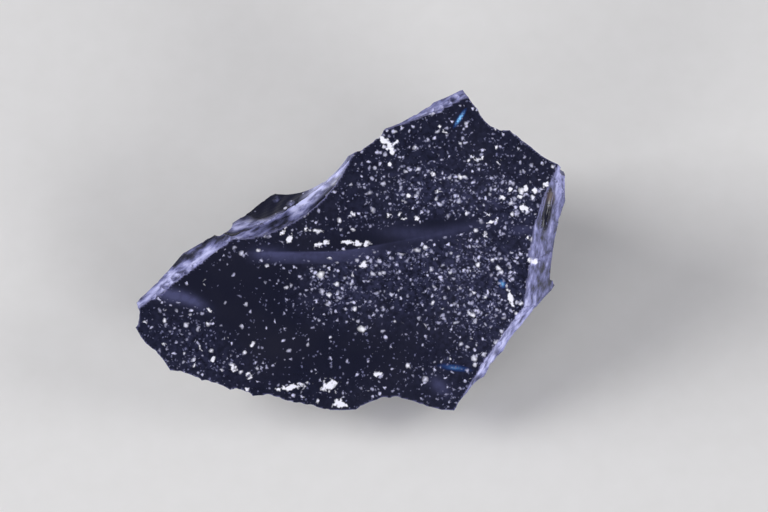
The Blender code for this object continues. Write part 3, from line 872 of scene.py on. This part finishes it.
def cutter(fracture):
    """A closed solid that is the space outside a fracture: its curved sheet drawn out to a flat back."""
    deselect()
    across = len(fracture.columns) - 1
    down = len(fracture.rows) - 1
    bpy.ops.mesh.primitive_grid_add(x_subdivisions=across, y_subdivisions=down, size=2.0)
    cut = bpy.context.object
    cut.name = fracture.name
    points = points_of(cut.data)
    x = fracture.columns[np.rint((points[:, 0] + 1.0) / 2.0 * across).astype(int)]
    y = fracture.rows[np.rint((points[:, 1] + 1.0) / 2.0 * down).astype(int)]
    if fracture.name == "upper_face":
        # Its rows follow the foot of the riser.
        y = y + riser_foot(x)
    sheet = np.column_stack((x, y, fracture.height(x, y)))
    set_points(cut.data, sheet)
    open_mesh()
    bpy.ops.mesh.extrude_region_move(TRANSFORM_OT_translate={"value": (0.0, 0.0, fracture.back)})
    bpy.ops.object.mode_set(mode="OBJECT")
    points = points_of(cut.data)
    points[len(sheet) :, 2] = fracture.back
    set_points(cut.data, points)
    open_mesh()
    bpy.ops.mesh.normals_make_consistent(inside=False)
    bpy.ops.object.mode_set(mode="OBJECT")
    cut.data.transform(fracture.place)
    return cut


def take_off(block, cut):
    """Cuts the block with a Boolean and removes the cutter."""
    modifier = block.modifiers.new(cut.name, "BOOLEAN")
    modifier.operation = "DIFFERENCE"
    modifier.solver = "MANIFOLD"
    modifier.object = cut
    pick(block)
    bpy.ops.object.modifier_apply(modifier=modifier.name)
    if not block.data.vertices:
        raise RuntimeError(f"{cut.name} took off the whole block")
    bpy.data.objects.remove(cut)


def rough_block():
    """The block before the first blow, standing on its resting face at z = 0."""
    deselect()
    bpy.ops.mesh.primitive_cube_add(size=1.0, location=BLOCK_MIDDLE, scale=BLOCK_SIZE)
    block = bpy.context.object
    bpy.ops.object.transform_apply(location=True, rotation=True, scale=True)
    block.name = LUMP_NAME
    block.data.name = LUMP_NAME
    return block


# A small chip: the ball that bites it off, and how frosted it is.
Chip = namedtuple("Chip", "middle radius frost")


def edge_chips(seed):
    """Where the small chips are: balls that bite a little into the rim and the bevels, in a few rounds."""
    face = face_frame()
    chance = np.random.default_rng(seed)
    rounds = [[] for _ in range(CHIP_ROUNDS)]
    edges = [(rim, 1.0) for rim in RIMS]
    edges += [(rim, BEVEL_CHIP_BITE) for rim in BEVELS if rim.name in CHIPPED_BEVELS]
    count = 0
    for rim, deeper in edges:
        place, half = rim_place(face, rim)
        frost = FROST.get(rim.name, FROST_OF_KIND["chip"])
        bow = (half * half + rim.bite * rim.bite) / (2 * rim.bite)
        x = -half + CHIP_SPACING * chance.uniform(*CHIP_FIRST)
        while x < half:
            radius = chance.uniform(*CHIP_RADIUS)
            bite = deeper * chance.uniform(*CHIP_BITE)
            y = chance.uniform(*CHIP_LEVEL)
            z = float(arc(x, bow) - arc(half, bow)) + radius - bite
            rounds[count % CHIP_ROUNDS].append(Chip(place @ Vector((x, y, z)), radius, frost))
            count += 1
            x += CHIP_SPACING * chance.uniform(*CHIP_GAP)
    return rounds


def apart(chips):
    """The chips that don't touch one that was kept before them."""
    kept = []
    for chip in chips:
        if all((chip.middle - other.middle).length > chip.radius + other.radius for other in kept):
            kept.append(chip)
    return kept


def chip_cutter(chips):
    """One cutter with a ball for each chip. The ball is modelled once and copied."""
    deselect()
    bpy.ops.mesh.primitive_ico_sphere_add(subdivisions=CHIP_DETAIL, radius=1.0)
    ball = bpy.context.object
    for chip in chips:
        copy = ball.copy()
        copy.data = ball.data.copy()
        copy.data.transform(Matrix.Translation(chip.middle) @ Matrix.Scale(chip.radius, 4))
        bpy.context.collection.objects.link(copy)
        copy.select_set(True)
        bpy.context.view_layer.objects.active = copy
    bpy.data.objects.remove(ball)
    bpy.ops.object.join()
    return bpy.context.object


def clean_lump(block):
    """Keeps the largest piece of the block, welds points closer than a hair and leaves a closed mesh."""
    pick(block)
    open_mesh()
    bpy.ops.mesh.separate(type="LOOSE")
    bpy.ops.object.mode_set(mode="OBJECT")
    parts = sorted(bpy.context.selected_objects, key=lambda part: len(part.data.vertices))
    lump = parts.pop()
    for part in parts:
        bpy.data.objects.remove(part)
    pick(lump)
    open_mesh()
    bpy.ops.mesh.remove_doubles(threshold=WELD_DISTANCE)
    bpy.ops.mesh.dissolve_degenerate(threshold=WELD_DISTANCE)
    bpy.ops.mesh.quads_convert_to_tris()
    # Welding can leave a thin flap that hangs on the mesh by one edge only. It is taken off.
    bpy.ops.mesh.select_all(action="DESELECT")
    bpy.ops.mesh.select_non_manifold(use_multi_face=False, use_non_contiguous=False, use_verts=False)
    bpy.ops.mesh.delete(type="ONLY_FACE")
    bpy.ops.mesh.select_all(action="SELECT")
    bpy.ops.mesh.delete_loose()
    bpy.ops.object.mode_set(mode="OBJECT")
    lump.name = LUMP_NAME
    return lump


# What the finish of the glass follows


def placed_in(place, points):
    """The points in the coordinates of a frame: a row each for x, y and z."""
    return (np.array(place.inverted()) @ np.column_stack((points, np.ones(len(points)))).T)[:3]


def gap_to(fracture, points):
    """How far each point is from the sheet of a fracture, and where it is on it."""
    x, y, z = placed_in(fracture.place, points)
    rows = fracture.rows
    if fracture.name == "upper_face":
        rows = (FACE_LOW, FACE_HIGH)
    inside = (x >= fracture.columns[0]) & (x <= fracture.columns[-1]) & (y >= rows[0]) & (y <= rows[-1])
    gap = np.where(inside, np.abs(z - fracture.height(x, y)), np.inf)
    return gap, x, y


def owners(fractures, chips, points):
    """For each point, the fracture or chip that it lies on, and its place in the pattern there.

    On a crushed bevel or rim the pattern is drawn out along it. Elsewhere it runs in rings round the blow.
    """
    best = np.abs(points[:, 2])
    owner = np.full(len(points), -1)
    pattern = ring_place(points[:, 0], points[:, 1])
    for number, fracture in enumerate(fractures):
        gap, x, y = gap_to(fracture, points)
        nearer = gap < best
        best[nearer] = gap[nearer]
        owner[nearer] = number
        if fracture.kind in CRUSHED_KINDS:
            there = np.column_stack((x * STREAK_ALONG, y * STREAK_BESIDE))
        else:
            there = ring_place(x - fracture.blow[0], y - fracture.blow[1])
        pattern[nearer] = there[nearer]
    for number, chip in enumerate(chips):
        offset = points - np.array(chip.middle)
        gap = np.abs(np.linalg.norm(offset, axis=1) - chip.radius)
        nearer = gap < CHIP_CLAIM * best
        best[nearer] = gap[nearer]
        owner[nearer] = len(fractures) + number
    return owner, pattern


def ring_place(across, down):
    """A place in the rings round a blow: the way round it, and the distance from it."""
    return np.column_stack((np.arctan2(across, down) * RING_TURN, np.hypot(across, down)))


def by_owner(owner, of_fractures, of_chips, of_base):
    """A value for each point or face, by the fracture, chip or resting face that owns it."""
    return np.array([*of_fractures, *of_chips, of_base], float)[owner]


def on_mark(mark, across, up):
    """How far each place is from the middle of a mark, along it and beside it, in its own half sizes."""
    turn = math.radians(mark.turn)
    right = across - mark.across
    above = up - mark.up
    along = (right * math.cos(turn) + above * math.sin(turn)) / mark.half_length
    beside = (above * math.cos(turn) - right * math.sin(turn)) / mark.half_width
    return along, beside


def closeness(marks, across, up):
    """How near each place is to the middle of the nearest mark: its strength there, 0 on its outline."""
    nearest = np.full(len(across), -1.0)
    for mark in marks:
        along, beside = on_mark(mark, across, up)
        nearest = np.maximum(nearest, mark.strength * (1.0 - np.hypot(along, beside)))
    return nearest


def soft_sum(marks, across, up):
    """The sum of soft spots, each falling off like a bell."""
    total = np.zeros(len(across))
    for mark in marks:
        along, beside = on_mark(mark, across, up)
        total += mark.strength * np.exp(-MARK_FALL * (along * along + beside * beside))
    return total


def riser_painted_sheen(across, up):
    """Painted sheen on the riser that stands in for its highlight: sharp along its foot, soft away from it.
    """
    past = up - riser_foot(across)
    swell = np.clip(1.0 + past / RISER_WIDTH, 0.0, 1.0) ** PAINTED_SHEEN_SWELL
    on_riser = np.where(past > PAINTED_SHEEN_END, 0.0, swell)
    grows = np.clip((across - RISER_START) / PAINTED_SHEEN_GROWTH, 0.0, 1.0)
    left = 1.0
    for share, start, length in PAINTED_SHEEN_LOSSES:
        left = left - share * np.clip((across - start) / length, 0.0, 1.0)
    return on_riser * grows * left


def add_attribute(mesh, name, kind, domain, values):
    """Gives the mesh an attribute with these values."""
    made = mesh.attributes.new(name, kind, domain)
    channel = "vector" if kind == "FLOAT_VECTOR" else "value"
    made.data.foreach_set(channel, np.ascontiguousarray(values, np.float32).ravel())


def ridge_points(mesh):
    """1 on the points of sharp ridges, 0 elsewhere."""
    on_ridge = np.zeros(len(mesh.vertices))
    count = len(mesh.edges)
    ends = np.empty(count * 2, np.int32)
    mesh.edges.foreach_get("vertices", ends)
    sharp = np.zeros(count, bool)
    mesh.attributes["sharp_edge"].data.foreach_get("value", sharp)
    on_ridge[ends.reshape(-1, 2)[sharp].ravel()] = 1.0
    return on_ridge


def mark_finish(lump, fractures, chips):
    """Writes on the mesh what its finish follows: frost, painted sheen, dust, white patches, blue glints
    and ridges.
    """
    mesh = lump.data
    points = points_of(mesh)
    across, up, out = placed_in(face_frame(), points)
    below = lower_face(across, up) - out
    count = len(mesh.polygons)
    centres = np.empty(count * 3, np.float32)
    mesh.polygons.foreach_get("center", centres)
    totals = np.empty(count, np.int32)
    mesh.polygons.foreach_get("loop_total", totals)
    corner_points = np.empty(len(mesh.loops), np.int32)
    mesh.loops.foreach_get("vertex_index", corner_points)

    owner, _ = owners(fractures, chips, centres.reshape(-1, 3).astype(float))
    _, pattern = owners(fractures, chips, points)
    owner = np.repeat(owner, totals)
    broad_face = by_owner(owner, [cut.kind == "face" for cut in fractures], [0.0] * len(chips), 0.0)
    crushed = by_owner(owner, [cut.kind in CRUSHED_KINDS for cut in fractures], [1.0] * len(chips), 0.0)
    frosts = [FROST.get(cut.name, FROST_OF_KIND[cut.kind]) for cut in fractures]
    frost = by_owner(owner, frosts, [chip.frost for chip in chips], FROST_OF_KIND["base"])
    frost += crushed * soft_sum(FROST_MARKS, across, up)[corner_points]
    along_rim = by_owner(owner, [cut.kind == "rim" for cut in fractures], [1.0] * len(chips), 0.0)
    fading = np.clip((below - RIM_FROST_FULL) / (RIM_FROST_END - RIM_FROST_FULL), 0.0, 1.0)[corner_points]
    frost *= 1.0 - along_rim * fading
    way = np.column_stack((pattern[corner_points], owner * OWNER_STRIDE))

    ridge_line_allowed = (np.abs(up - riser_foot(across)) > RISER_CLEAN) & (below < RIDGE_DEPTH)

    add_attribute(mesh, "frost", "FLOAT", "CORNER", np.clip(frost, 0.0, 1.0))
    add_attribute(mesh, "broad_face", "FLOAT", "CORNER", broad_face)
    add_attribute(mesh, "blow_way", "FLOAT_VECTOR", "CORNER", way)
    # The sheen share is painted sheen: colour that stands in for highlights on the riser and the face.
    shares = {
        "bloom": np.clip(soft_sum(PAINTED_SHEEN_MARKS, across, up) + riser_painted_sheen(across, up), 0.0, PAINTED_SHEEN_MOST),
        "dust": np.clip(DUST_BASE + soft_sum(DUST_ZONES, across, up), 0.0, DUST_MOST),
        "shade": soft_sum(PAINTED_LIGHT_TONE_MARKS, across, up),
        "stain": soft_sum(STAINS, across, up),
        "white": closeness(WHITE_PATCHES, across, up),
        "streak": closeness(BLUE_GLINTS, across, up),
        "ridge": ridge_points(mesh) * ridge_line_allowed,
    }
    for name, share in shares.items():
        add_attribute(mesh, name, "FLOAT", "POINT", share)


# Materials


def linear(code):
    """The linear colour, with full alpha, of an sRGB hex value such as 8a8bb4."""
    parts = [int(code[start : start + 2], 16) / 255 for start in (0, 2, 4)]
    return (*(part / 12.92 if part <= 0.04045 else ((part + 0.055) / 1.055) ** 2.4 for part in parts), 1.0)


def add_node(tree, kind, inputs=(), output=0, **settings):
    """Adds one node and gives back one of its outputs.

    inputs are values or links, by the name of their socket or else in the order of the sockets. settings
    are the node's own options.
    """
    node = tree.nodes.new("ShaderNode" + kind)
    for name, value in settings.items():
        setattr(node, name, value)
    named = inputs if isinstance(inputs, dict) else dict(enumerate(inputs))
    for name, value in named.items():
        if isinstance(value, bpy.types.NodeSocket):
            tree.links.new(value, node.inputs[name])
        else:
            node.inputs[name].default_value = value
    return node.outputs[output]


# The options of a node that mixes two colours.
MIXED = {"output": "Result", "data_type": "RGBA"}


def set_ramp(ramp, stops):
    """Gives a colour ramp its stops, from first to last: the place and the linear colour of each."""
    ramp.elements[0].position, ramp.elements[0].color = stops[0]
    ramp.elements[1].position, ramp.elements[1].color = stops[-1]
    for place, colour in stops[1:-1]:
        ramp.elements.new(place).color = colour


def patterned(tree, coords, pattern):
    """A pattern of noise on these coordinates: as it is, and stretched."""
    settings = {"Vector": coords, "Scale": 1 / (pattern.grain * MM), "Detail": pattern.detail}
    noise = add_node(tree, "TexNoise", settings)
    return noise, add_node(tree, "MapRange", (noise, *pattern.stretch))


def shaken(tree, coords, grain, amount):
    """The coordinates, moved about a little by a noise of this grain, so that outlines turn out ragged."""
    noise = add_node(tree, "TexNoise", {"Vector": coords, "Scale": 1 / grain, "Detail": 2.0}, "Color")
    centred = add_node(tree, "VectorMath", (noise, (0.5, 0.5, 0.5)), operation="SUBTRACT")
    reach = (amount, amount, amount)
    return add_node(tree, "VectorMath", (centred, reach, coords), operation="MULTIPLY_ADD")


def lay_specks(tree, colour, pale, coords, flat, where, specks):
    """Lays specks of each size over a colour, where there is dust. Gives the colour and their mask."""
    for speck in specks:
        net = {"Vector": coords, "Scale": 1 / (speck.cell * MM)}
        distance = add_node(tree, "TexVoronoi", net, "Distance", voronoi_dimensions="2D" if flat else "3D")
        chance = add_node(tree, "TexWhiteNoise", (distance.node.outputs["Color"],), "Color")
        chance = add_node(tree, "SeparateColor", (chance,)).node.outputs
        share = add_node(tree, "Math", (where, speck.filled), operation="MULTIPLY")
        filled = add_node(tree, "Math", (chance[0], share), operation="LESS_THAN")
        spread = speck.large - speck.small
        radius = add_node(tree, "Math", (chance[2], SPECK_SIZE_POWER), operation="POWER")
        radius = add_node(tree, "Math", (radius, spread, speck.small), operation="MULTIPLY_ADD")
        inside = add_node(tree, "Math", (radius, distance), operation="SUBTRACT")
        inside = add_node(tree, "Math", (inside, speck.crisp), operation="MULTIPLY", use_clamp=True)
        mask = add_node(tree, "Math", (inside, filled), operation="MULTIPLY")
        bright = add_node(tree, "Math", (chance[1], chance[2]), operation="ADD")
        bright = add_node(tree, "Math", (bright, SPECK_LIGHT_SHARE), operation="MULTIPLY", use_clamp=True)
        bright = add_node(tree, "Math", (bright, SPECK_LIGHT_POWER), operation="POWER")
        shades = {"Factor": bright, "A": linear(speck.dark), "B": linear(speck.light)}
        tint = add_node(tree, "Mix", shades, **MIXED)
        colour = add_node(tree, "Mix", {"Factor": mask, "A": colour, "B": tint}, **MIXED)
        pale = add_node(tree, "Math", (pale, mask), operation="MAXIMUM")
    return colour, pale


def glass_finish(settings):
    """Obsidian: volcanic glass, broken by blows and left unpolished, with dust and open bubbles on it.

    The eye gets a near black, slightly blue mirror with ripples round each blow, pale frosted bevels where
    the rim was crushed, and a sky of white specks on the broad face.
    """
    material = bpy.data.materials.new("obsidian_struck_glass")
    material.use_nodes = True
    tree = material.node_tree
    shader = tree.nodes["Principled BSDF"]
    place = add_node(tree, "TexCoord", (), "Object")
    names = ("frost", "broad_face", "bloom", "dust", "shade", "stain", "white", "streak", "ridge")
    seen = {name: add_node(tree, "Attribute", (), "Fac", attribute_name=name) for name in names}
    way = add_node(tree, "Attribute", (), "Vector", attribute_name="blow_way")
    face_place = add_node(tree, "Mapping", {"Vector": place, "Rotation": (-FACE_SLOPE, 0.0, 0.0)})

    # Clear glass, with slow clouds of slightly lighter glass in it.
    _, cloud = patterned(tree, place, CLOUDS)
    glass = {"Factor": cloud, "A": (*settings.glass_colour, 1.0), "B": linear(CLOUD_COLOUR)}
    colour = add_node(tree, "Mix", glass, **MIXED)

    # Painted sheen: a grey colour that stands in for the highlights, on the riser and in soft spots.
    grain, patchy = patterned(tree, place, PAINTED_SHEEN_PATCHES)
    bloom = add_node(tree, "Math", (seen["bloom"], patchy), operation="MULTIPLY")
    bloom = add_node(tree, "Math", (bloom, seen["broad_face"]), operation="MULTIPLY", use_clamp=True)

    # Haze: dust too fine to see as specks, where it lies thick.
    _, haze = patterned(tree, face_place, HAZE)
    thick = add_node(tree, "MapRange", (seen["dust"], *HAZE_BY_DUST))
    for share in (thick, seen["broad_face"]):
        haze = add_node(tree, "Math", (haze, share), operation="MULTIPLY")

    # Frost on the crushed bevels: streaks along them, from dark lavender grey to pale lavender, lightened
    # and darkened by the marks of painted light and tone.
    streaks = add_node(tree, "TexNoise", {"Vector": way, **STREAK_NOISE})
    toned = add_node(tree, "Math", (seen["shade"], PAINTED_LIGHT_TONE_WEIGHT, streaks), operation="MULTIPLY_ADD")
    frost_colour = add_node(tree, "ValToRGB", (toned,))
    set_ramp(frost_colour.node.color_ramp, [(stop, linear(code)) for stop, code in FROST_COLOURS])
    broken = add_node(tree, "MapRange", (streaks, *FROST_BY_STREAKS))
    frost = add_node(tree, "Math", (seen["frost"], broken), operation="MULTIPLY", use_clamp=True)

    # Ridges get a thin pale line here and there: partly bruised glass, partly a painted edge highlight.
    ridge_line = add_node(tree, "Math", (seen["ridge"], RIDGE_POWER), operation="POWER")
    ridge_line = add_node(tree, "Math", (ridge_line, grain), operation="MULTIPLY")
    ridge_line = add_node(tree, "Math", (ridge_line, RIDGE_STRENGTH), operation="MULTIPLY", use_clamp=True)

    # Blue flashes, painted iridescent glints: deep blue at the edge, light in the core.
    flash = add_node(tree, "Math", (seen["streak"], FLASH_STRENGTH), operation="MULTIPLY", use_clamp=True)
    flash = add_node(tree, "Math", (flash, seen["broad_face"]), operation="MULTIPLY")
    core = add_node(tree, "Math", (flash, FLASH_CORE_POWER), operation="POWER")
    blues = {"Factor": core, "A": linear(FLASH_COLOURS[0]), "B": linear(FLASH_COLOURS[1])}
    flash_colour = add_node(tree, "Mix", blues, **MIXED)

    for share, coat in (
        (haze, linear(HAZE_COLOUR)),
        (bloom, linear(PAINTED_SHEEN_COLOUR)),
        (frost, frost_colour),
        (seen["stain"], linear(STAIN_COLOUR)),
        (ridge_line, linear(RIDGE_LINE_COLOUR)),
        (flash, flash_colour),
    ):
        colour = add_node(tree, "Mix", {"Factor": share, "A": colour, "B": coat}, **MIXED)

    # Specks of dust and small open bubbles: in drifts on the broad face, fewer on the painted sheen, few
    # elsewhere.
    _, drifts = patterned(tree, face_place, DRIFTS)
    bare = add_node(tree, "MapRange", (bloom, *SPECKS_BY_PAINTED_SHEEN))
    dusty = seen["dust"]
    for share in (seen["broad_face"], drifts, bare):
        dusty = add_node(tree, "Math", (dusty, share), operation="MULTIPLY")
    clear = add_node(tree, "Math", (1.0, seen["broad_face"]), operation="SUBTRACT")
    clear = add_node(tree, "Math", (clear, frost), operation="SUBTRACT", use_clamp=True)
    ragged = face_place
    for shake, amount in SPECK_SHAKES:
        ragged = shaken(tree, ragged, shake * MM, amount * MM)
    colour, pale = lay_specks(tree, colour, 0.0, ragged, True, dusty, FACE_SPECKS)
    colour, pale = lay_specks(tree, colour, pale, place, False, clear, WALL_SPECKS)

    # Thick white patches of dust and open bubbles, with one painted highlight among them, torn at their
    # edges by a noise, on the broad face and where the frost is thick.
    torn = add_node(tree, "TexNoise", {"Vector": face_place, **TORN_NOISE})
    torn = add_node(tree, "Math", (torn, TORN_WEIGHT, seen["white"]), operation="MULTIPLY_ADD")
    patch = add_node(tree, "MapRange", (torn, *PATCH_EDGE))
    near = add_node(tree, "MapRange", (seen["white"], *PATCH_REACH))
    front = add_node(tree, "Math", (frost, PATCH_FROST_POWER), operation="POWER")
    front = add_node(tree, "Math", (front, seen["broad_face"]), operation="MAXIMUM")
    for share in (near, front):
        patch = add_node(tree, "Math", (patch, share), operation="MULTIPLY")
    white = {"Factor": patch, "A": colour, "B": linear(WHITE_COLOUR)}
    colour = add_node(tree, "Mix", white, **MIXED)
    pale = add_node(tree, "Math", (pale, patch), operation="MAXIMUM")

    # How dull the surface is under what covers it.
    rough = settings.glass_roughness
    dulling = ((frost, FROST_DULLS), (bloom, PAINTED_SHEEN_DULLS), (seen["stain"], STAIN_DULLS), (pale, DUST_DULLS))
    for cover, duller in dulling:
        rough = add_node(tree, "Math", (cover, duller, rough), operation="MULTIPLY_ADD", use_clamp=True)

    # Fine relief: ripples round the blow, hackles on the frost, and dust that stands a little proud.
    rings = add_node(tree, "TexWave", {"Vector": way, **RING_WAVES}, "Fac", bands_direction="Y")
    height = add_node(tree, "Math", (rings, RING_RELIEF * MM), operation="MULTIPLY")
    raised = ((frost, streaks, STREAK_RELIEF), (frost, grain, GRAIN_RELIEF), (pale, 1.0, DUST_RELIEF))
    for cover, relief, depth in raised:
        covered = add_node(tree, "Math", (cover, relief), operation="MULTIPLY")
        height = add_node(tree, "Math", (covered, depth * MM, height), operation="MULTIPLY_ADD")
    bump = add_node(tree, "Bump", {"Strength": 1.0, "Distance": 1.0, "Height": height})

    shader.inputs["IOR"].default_value = GLASS_IOR
    tree.links.new(colour, shader.inputs["Base Color"])
    tree.links.new(rough, shader.inputs["Roughness"])
    tree.links.new(bump, shader.inputs["Normal"])
    return material


def floor_finish():
    """Matt paper: a plain pale sheet with a barely seen fibre, which keeps the eye on the glass."""
    material = bpy.data.materials.new("matt_paper_sheet")
    material.use_nodes = True
    tree = material.node_tree
    shader = tree.nodes["Principled BSDF"]
    place = add_node(tree, "TexCoord", (), "Object")
    fibre = add_node(tree, "TexNoise", {"Vector": place, **PAPER_NOISE})
    paper = {"Factor": fibre, "A": linear(PAPER_COLOURS[0]), "B": linear(PAPER_COLOURS[1])}
    colour = add_node(tree, "Mix", paper, **MIXED)
    tree.links.new(colour, shader.inputs["Base Color"])
    shader.inputs["Roughness"].default_value = PAPER_ROUGHNESS
    shader.inputs["Specular IOR Level"].default_value = PAPER_SPECULAR
    return material


# The stage


def add_lamp(lamp, share):
    """Adds one soft square lamp that faces the lump."""
    way = Vector(lamp.way).normalized()
    bpy.ops.object.light_add(type="AREA", location=LAMP_TARGET + way * lamp.distance)
    made = bpy.context.object
    made.name = lamp.name
    made.rotation_euler = (-way).to_track_quat("-Z", "Y").to_euler()
    made.data.shape = "SQUARE"
    made.data.size = lamp.size
    made.data.energy = lamp.power * share


def set_surroundings(scene):
    """A plain studio room: pale low down all round, darker overhead."""
    world = bpy.data.worlds.new("studio_room")
    scene.world = world
    world.use_nodes = True
    tree = world.node_tree
    way = add_node(tree, "TexCoord", (), "Generated")
    height = add_node(tree, "SeparateXYZ", (way,), "Z")
    room = add_node(tree, "ValToRGB", (height,))
    set_ramp(room.node.color_ramp, ROOM)
    tree.links.new(room, tree.nodes["Background"].inputs["Color"])


def add_camera(scene, settings):
    """The camera looks square onto the broad face. The picture's middle is a little right of the face's."""
    face = face_frame()
    eye = face @ Vector((*PICTURE_MIDDLE, settings.camera_distance / MM))
    bpy.ops.object.camera_add(location=eye * MM, rotation=face.to_euler())
    camera = bpy.context.object
    camera.name = "camera"
    camera.data.lens = settings.lens
    camera.data.sensor_width = SENSOR_WIDTH
    scene.camera = camera


# Operators


class OBSIDIAN_OT_break_lump(bpy.types.Operator):
    """Break the lump out of a block, fracture by fracture, and mark what its finish follows"""

    bl_idname = "obsidian.break_lump"
    bl_label = "Break the lump"

    def execute(self, context):
        settings = context.scene.obsidian_chunk
        fractures = all_fractures(settings)
        block = rough_block()
        for fracture in fractures:
            if fracture.kind != "face":
                take_off(block, cutter(fracture))
        chips = []
        for group in edge_chips(settings.chip_seed):
            kept = apart(group)
            take_off(block, chip_cutter(kept))
            chips += kept
        for fracture in fractures:
            if fracture.kind == "face":
                take_off(block, cutter(fracture))
        lump = clean_lump(block)
        pick(lump)
        bpy.ops.object.shade_smooth_by_angle(angle=SMOOTH_ANGLE)
        mark_finish(lump, fractures, chips)
        lump.data.transform(Matrix.Scale(MM, 4))
        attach(lump, "root")
        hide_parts("obsidian_chunk")
        return {"FINISHED"}


class OBSIDIAN_OT_finish_glass(bpy.types.Operator):
    """Give the lump the finish of struck volcanic glass"""

    bl_idname = "obsidian.finish_glass"
    bl_label = "Finish the glass"

    def execute(self, context):
        lump = bpy.data.objects[LUMP_NAME]
        lump.data.materials.clear()
        lump.data.materials.append(glass_finish(context.scene.obsidian_chunk))
        return {"FINISHED"}


class OBSIDIAN_OT_set_stage(bpy.types.Operator):
    """Add the pale floor, the soft lamps, the surroundings and the camera"""

    bl_idname = "obsidian.set_stage"
    bl_label = "Set the stage"

    def execute(self, context):
        settings = context.scene.obsidian_stage
        deselect()
        bpy.ops.mesh.primitive_plane_add(size=FLOOR_SIZE, location=(0.0, 0.0, 0.0))
        floor = context.object
        floor.name = "floor"
        floor.data.materials.append(floor_finish())
        for lamp in LAMPS:
            add_lamp(lamp, settings.light)
        set_surroundings(context.scene)
        add_camera(context.scene, settings)
        context.scene.view_settings.view_transform = "Standard"
        return {"FINISHED"}


class OBSIDIAN_PT_panel(bpy.types.Panel):
    """Lists the steps that make the lump"""

    bl_idname = "OBSIDIAN_PT_panel"
    bl_label = "Obsidian chunk"
    bl_space_type = "VIEW_3D"
    bl_region_type = "UI"
    bl_category = "Obsidian"

    def draw(self, context):
        column = self.layout.column()
        chunk = context.scene.obsidian_chunk
        for name in ("face_step", "break_step", "rim_step", "chip_seed", "glass_colour", "glass_roughness"):
            column.prop(chunk, name)
        column.operator("obsidian.break_lump")
        column.operator("obsidian.finish_glass")
        stage = context.scene.obsidian_stage
        for name in ("camera_distance", "lens", "light"):
            column.prop(stage, name)
        column.operator("obsidian.set_stage")


CLASSES = (
    ChunkSettings,
    StageSettings,
    OBSIDIAN_OT_break_lump,
    OBSIDIAN_OT_finish_glass,
    OBSIDIAN_OT_set_stage,
    OBSIDIAN_PT_panel,
)


def register():
    """Makes the settings, operators and panel known."""
    for made in CLASSES:
        bpy.utils.register_class(made)
    bpy.types.Scene.obsidian_chunk = PointerProperty(type=ChunkSettings)
    bpy.types.Scene.obsidian_stage = PointerProperty(type=StageSettings)


def unregister():
    """Takes them away again."""
    del bpy.types.Scene.obsidian_stage
    del bpy.types.Scene.obsidian_chunk
    for made in reversed(CLASSES):
        bpy.utils.unregister_class(made)


def main():
    """Makes the lump and its stage."""
    register()
    bpy.ops.obsidian.break_lump()
    bpy.ops.obsidian.finish_glass()
    bpy.ops.obsidian.set_stage()


if __name__ == "__main__":
    main()
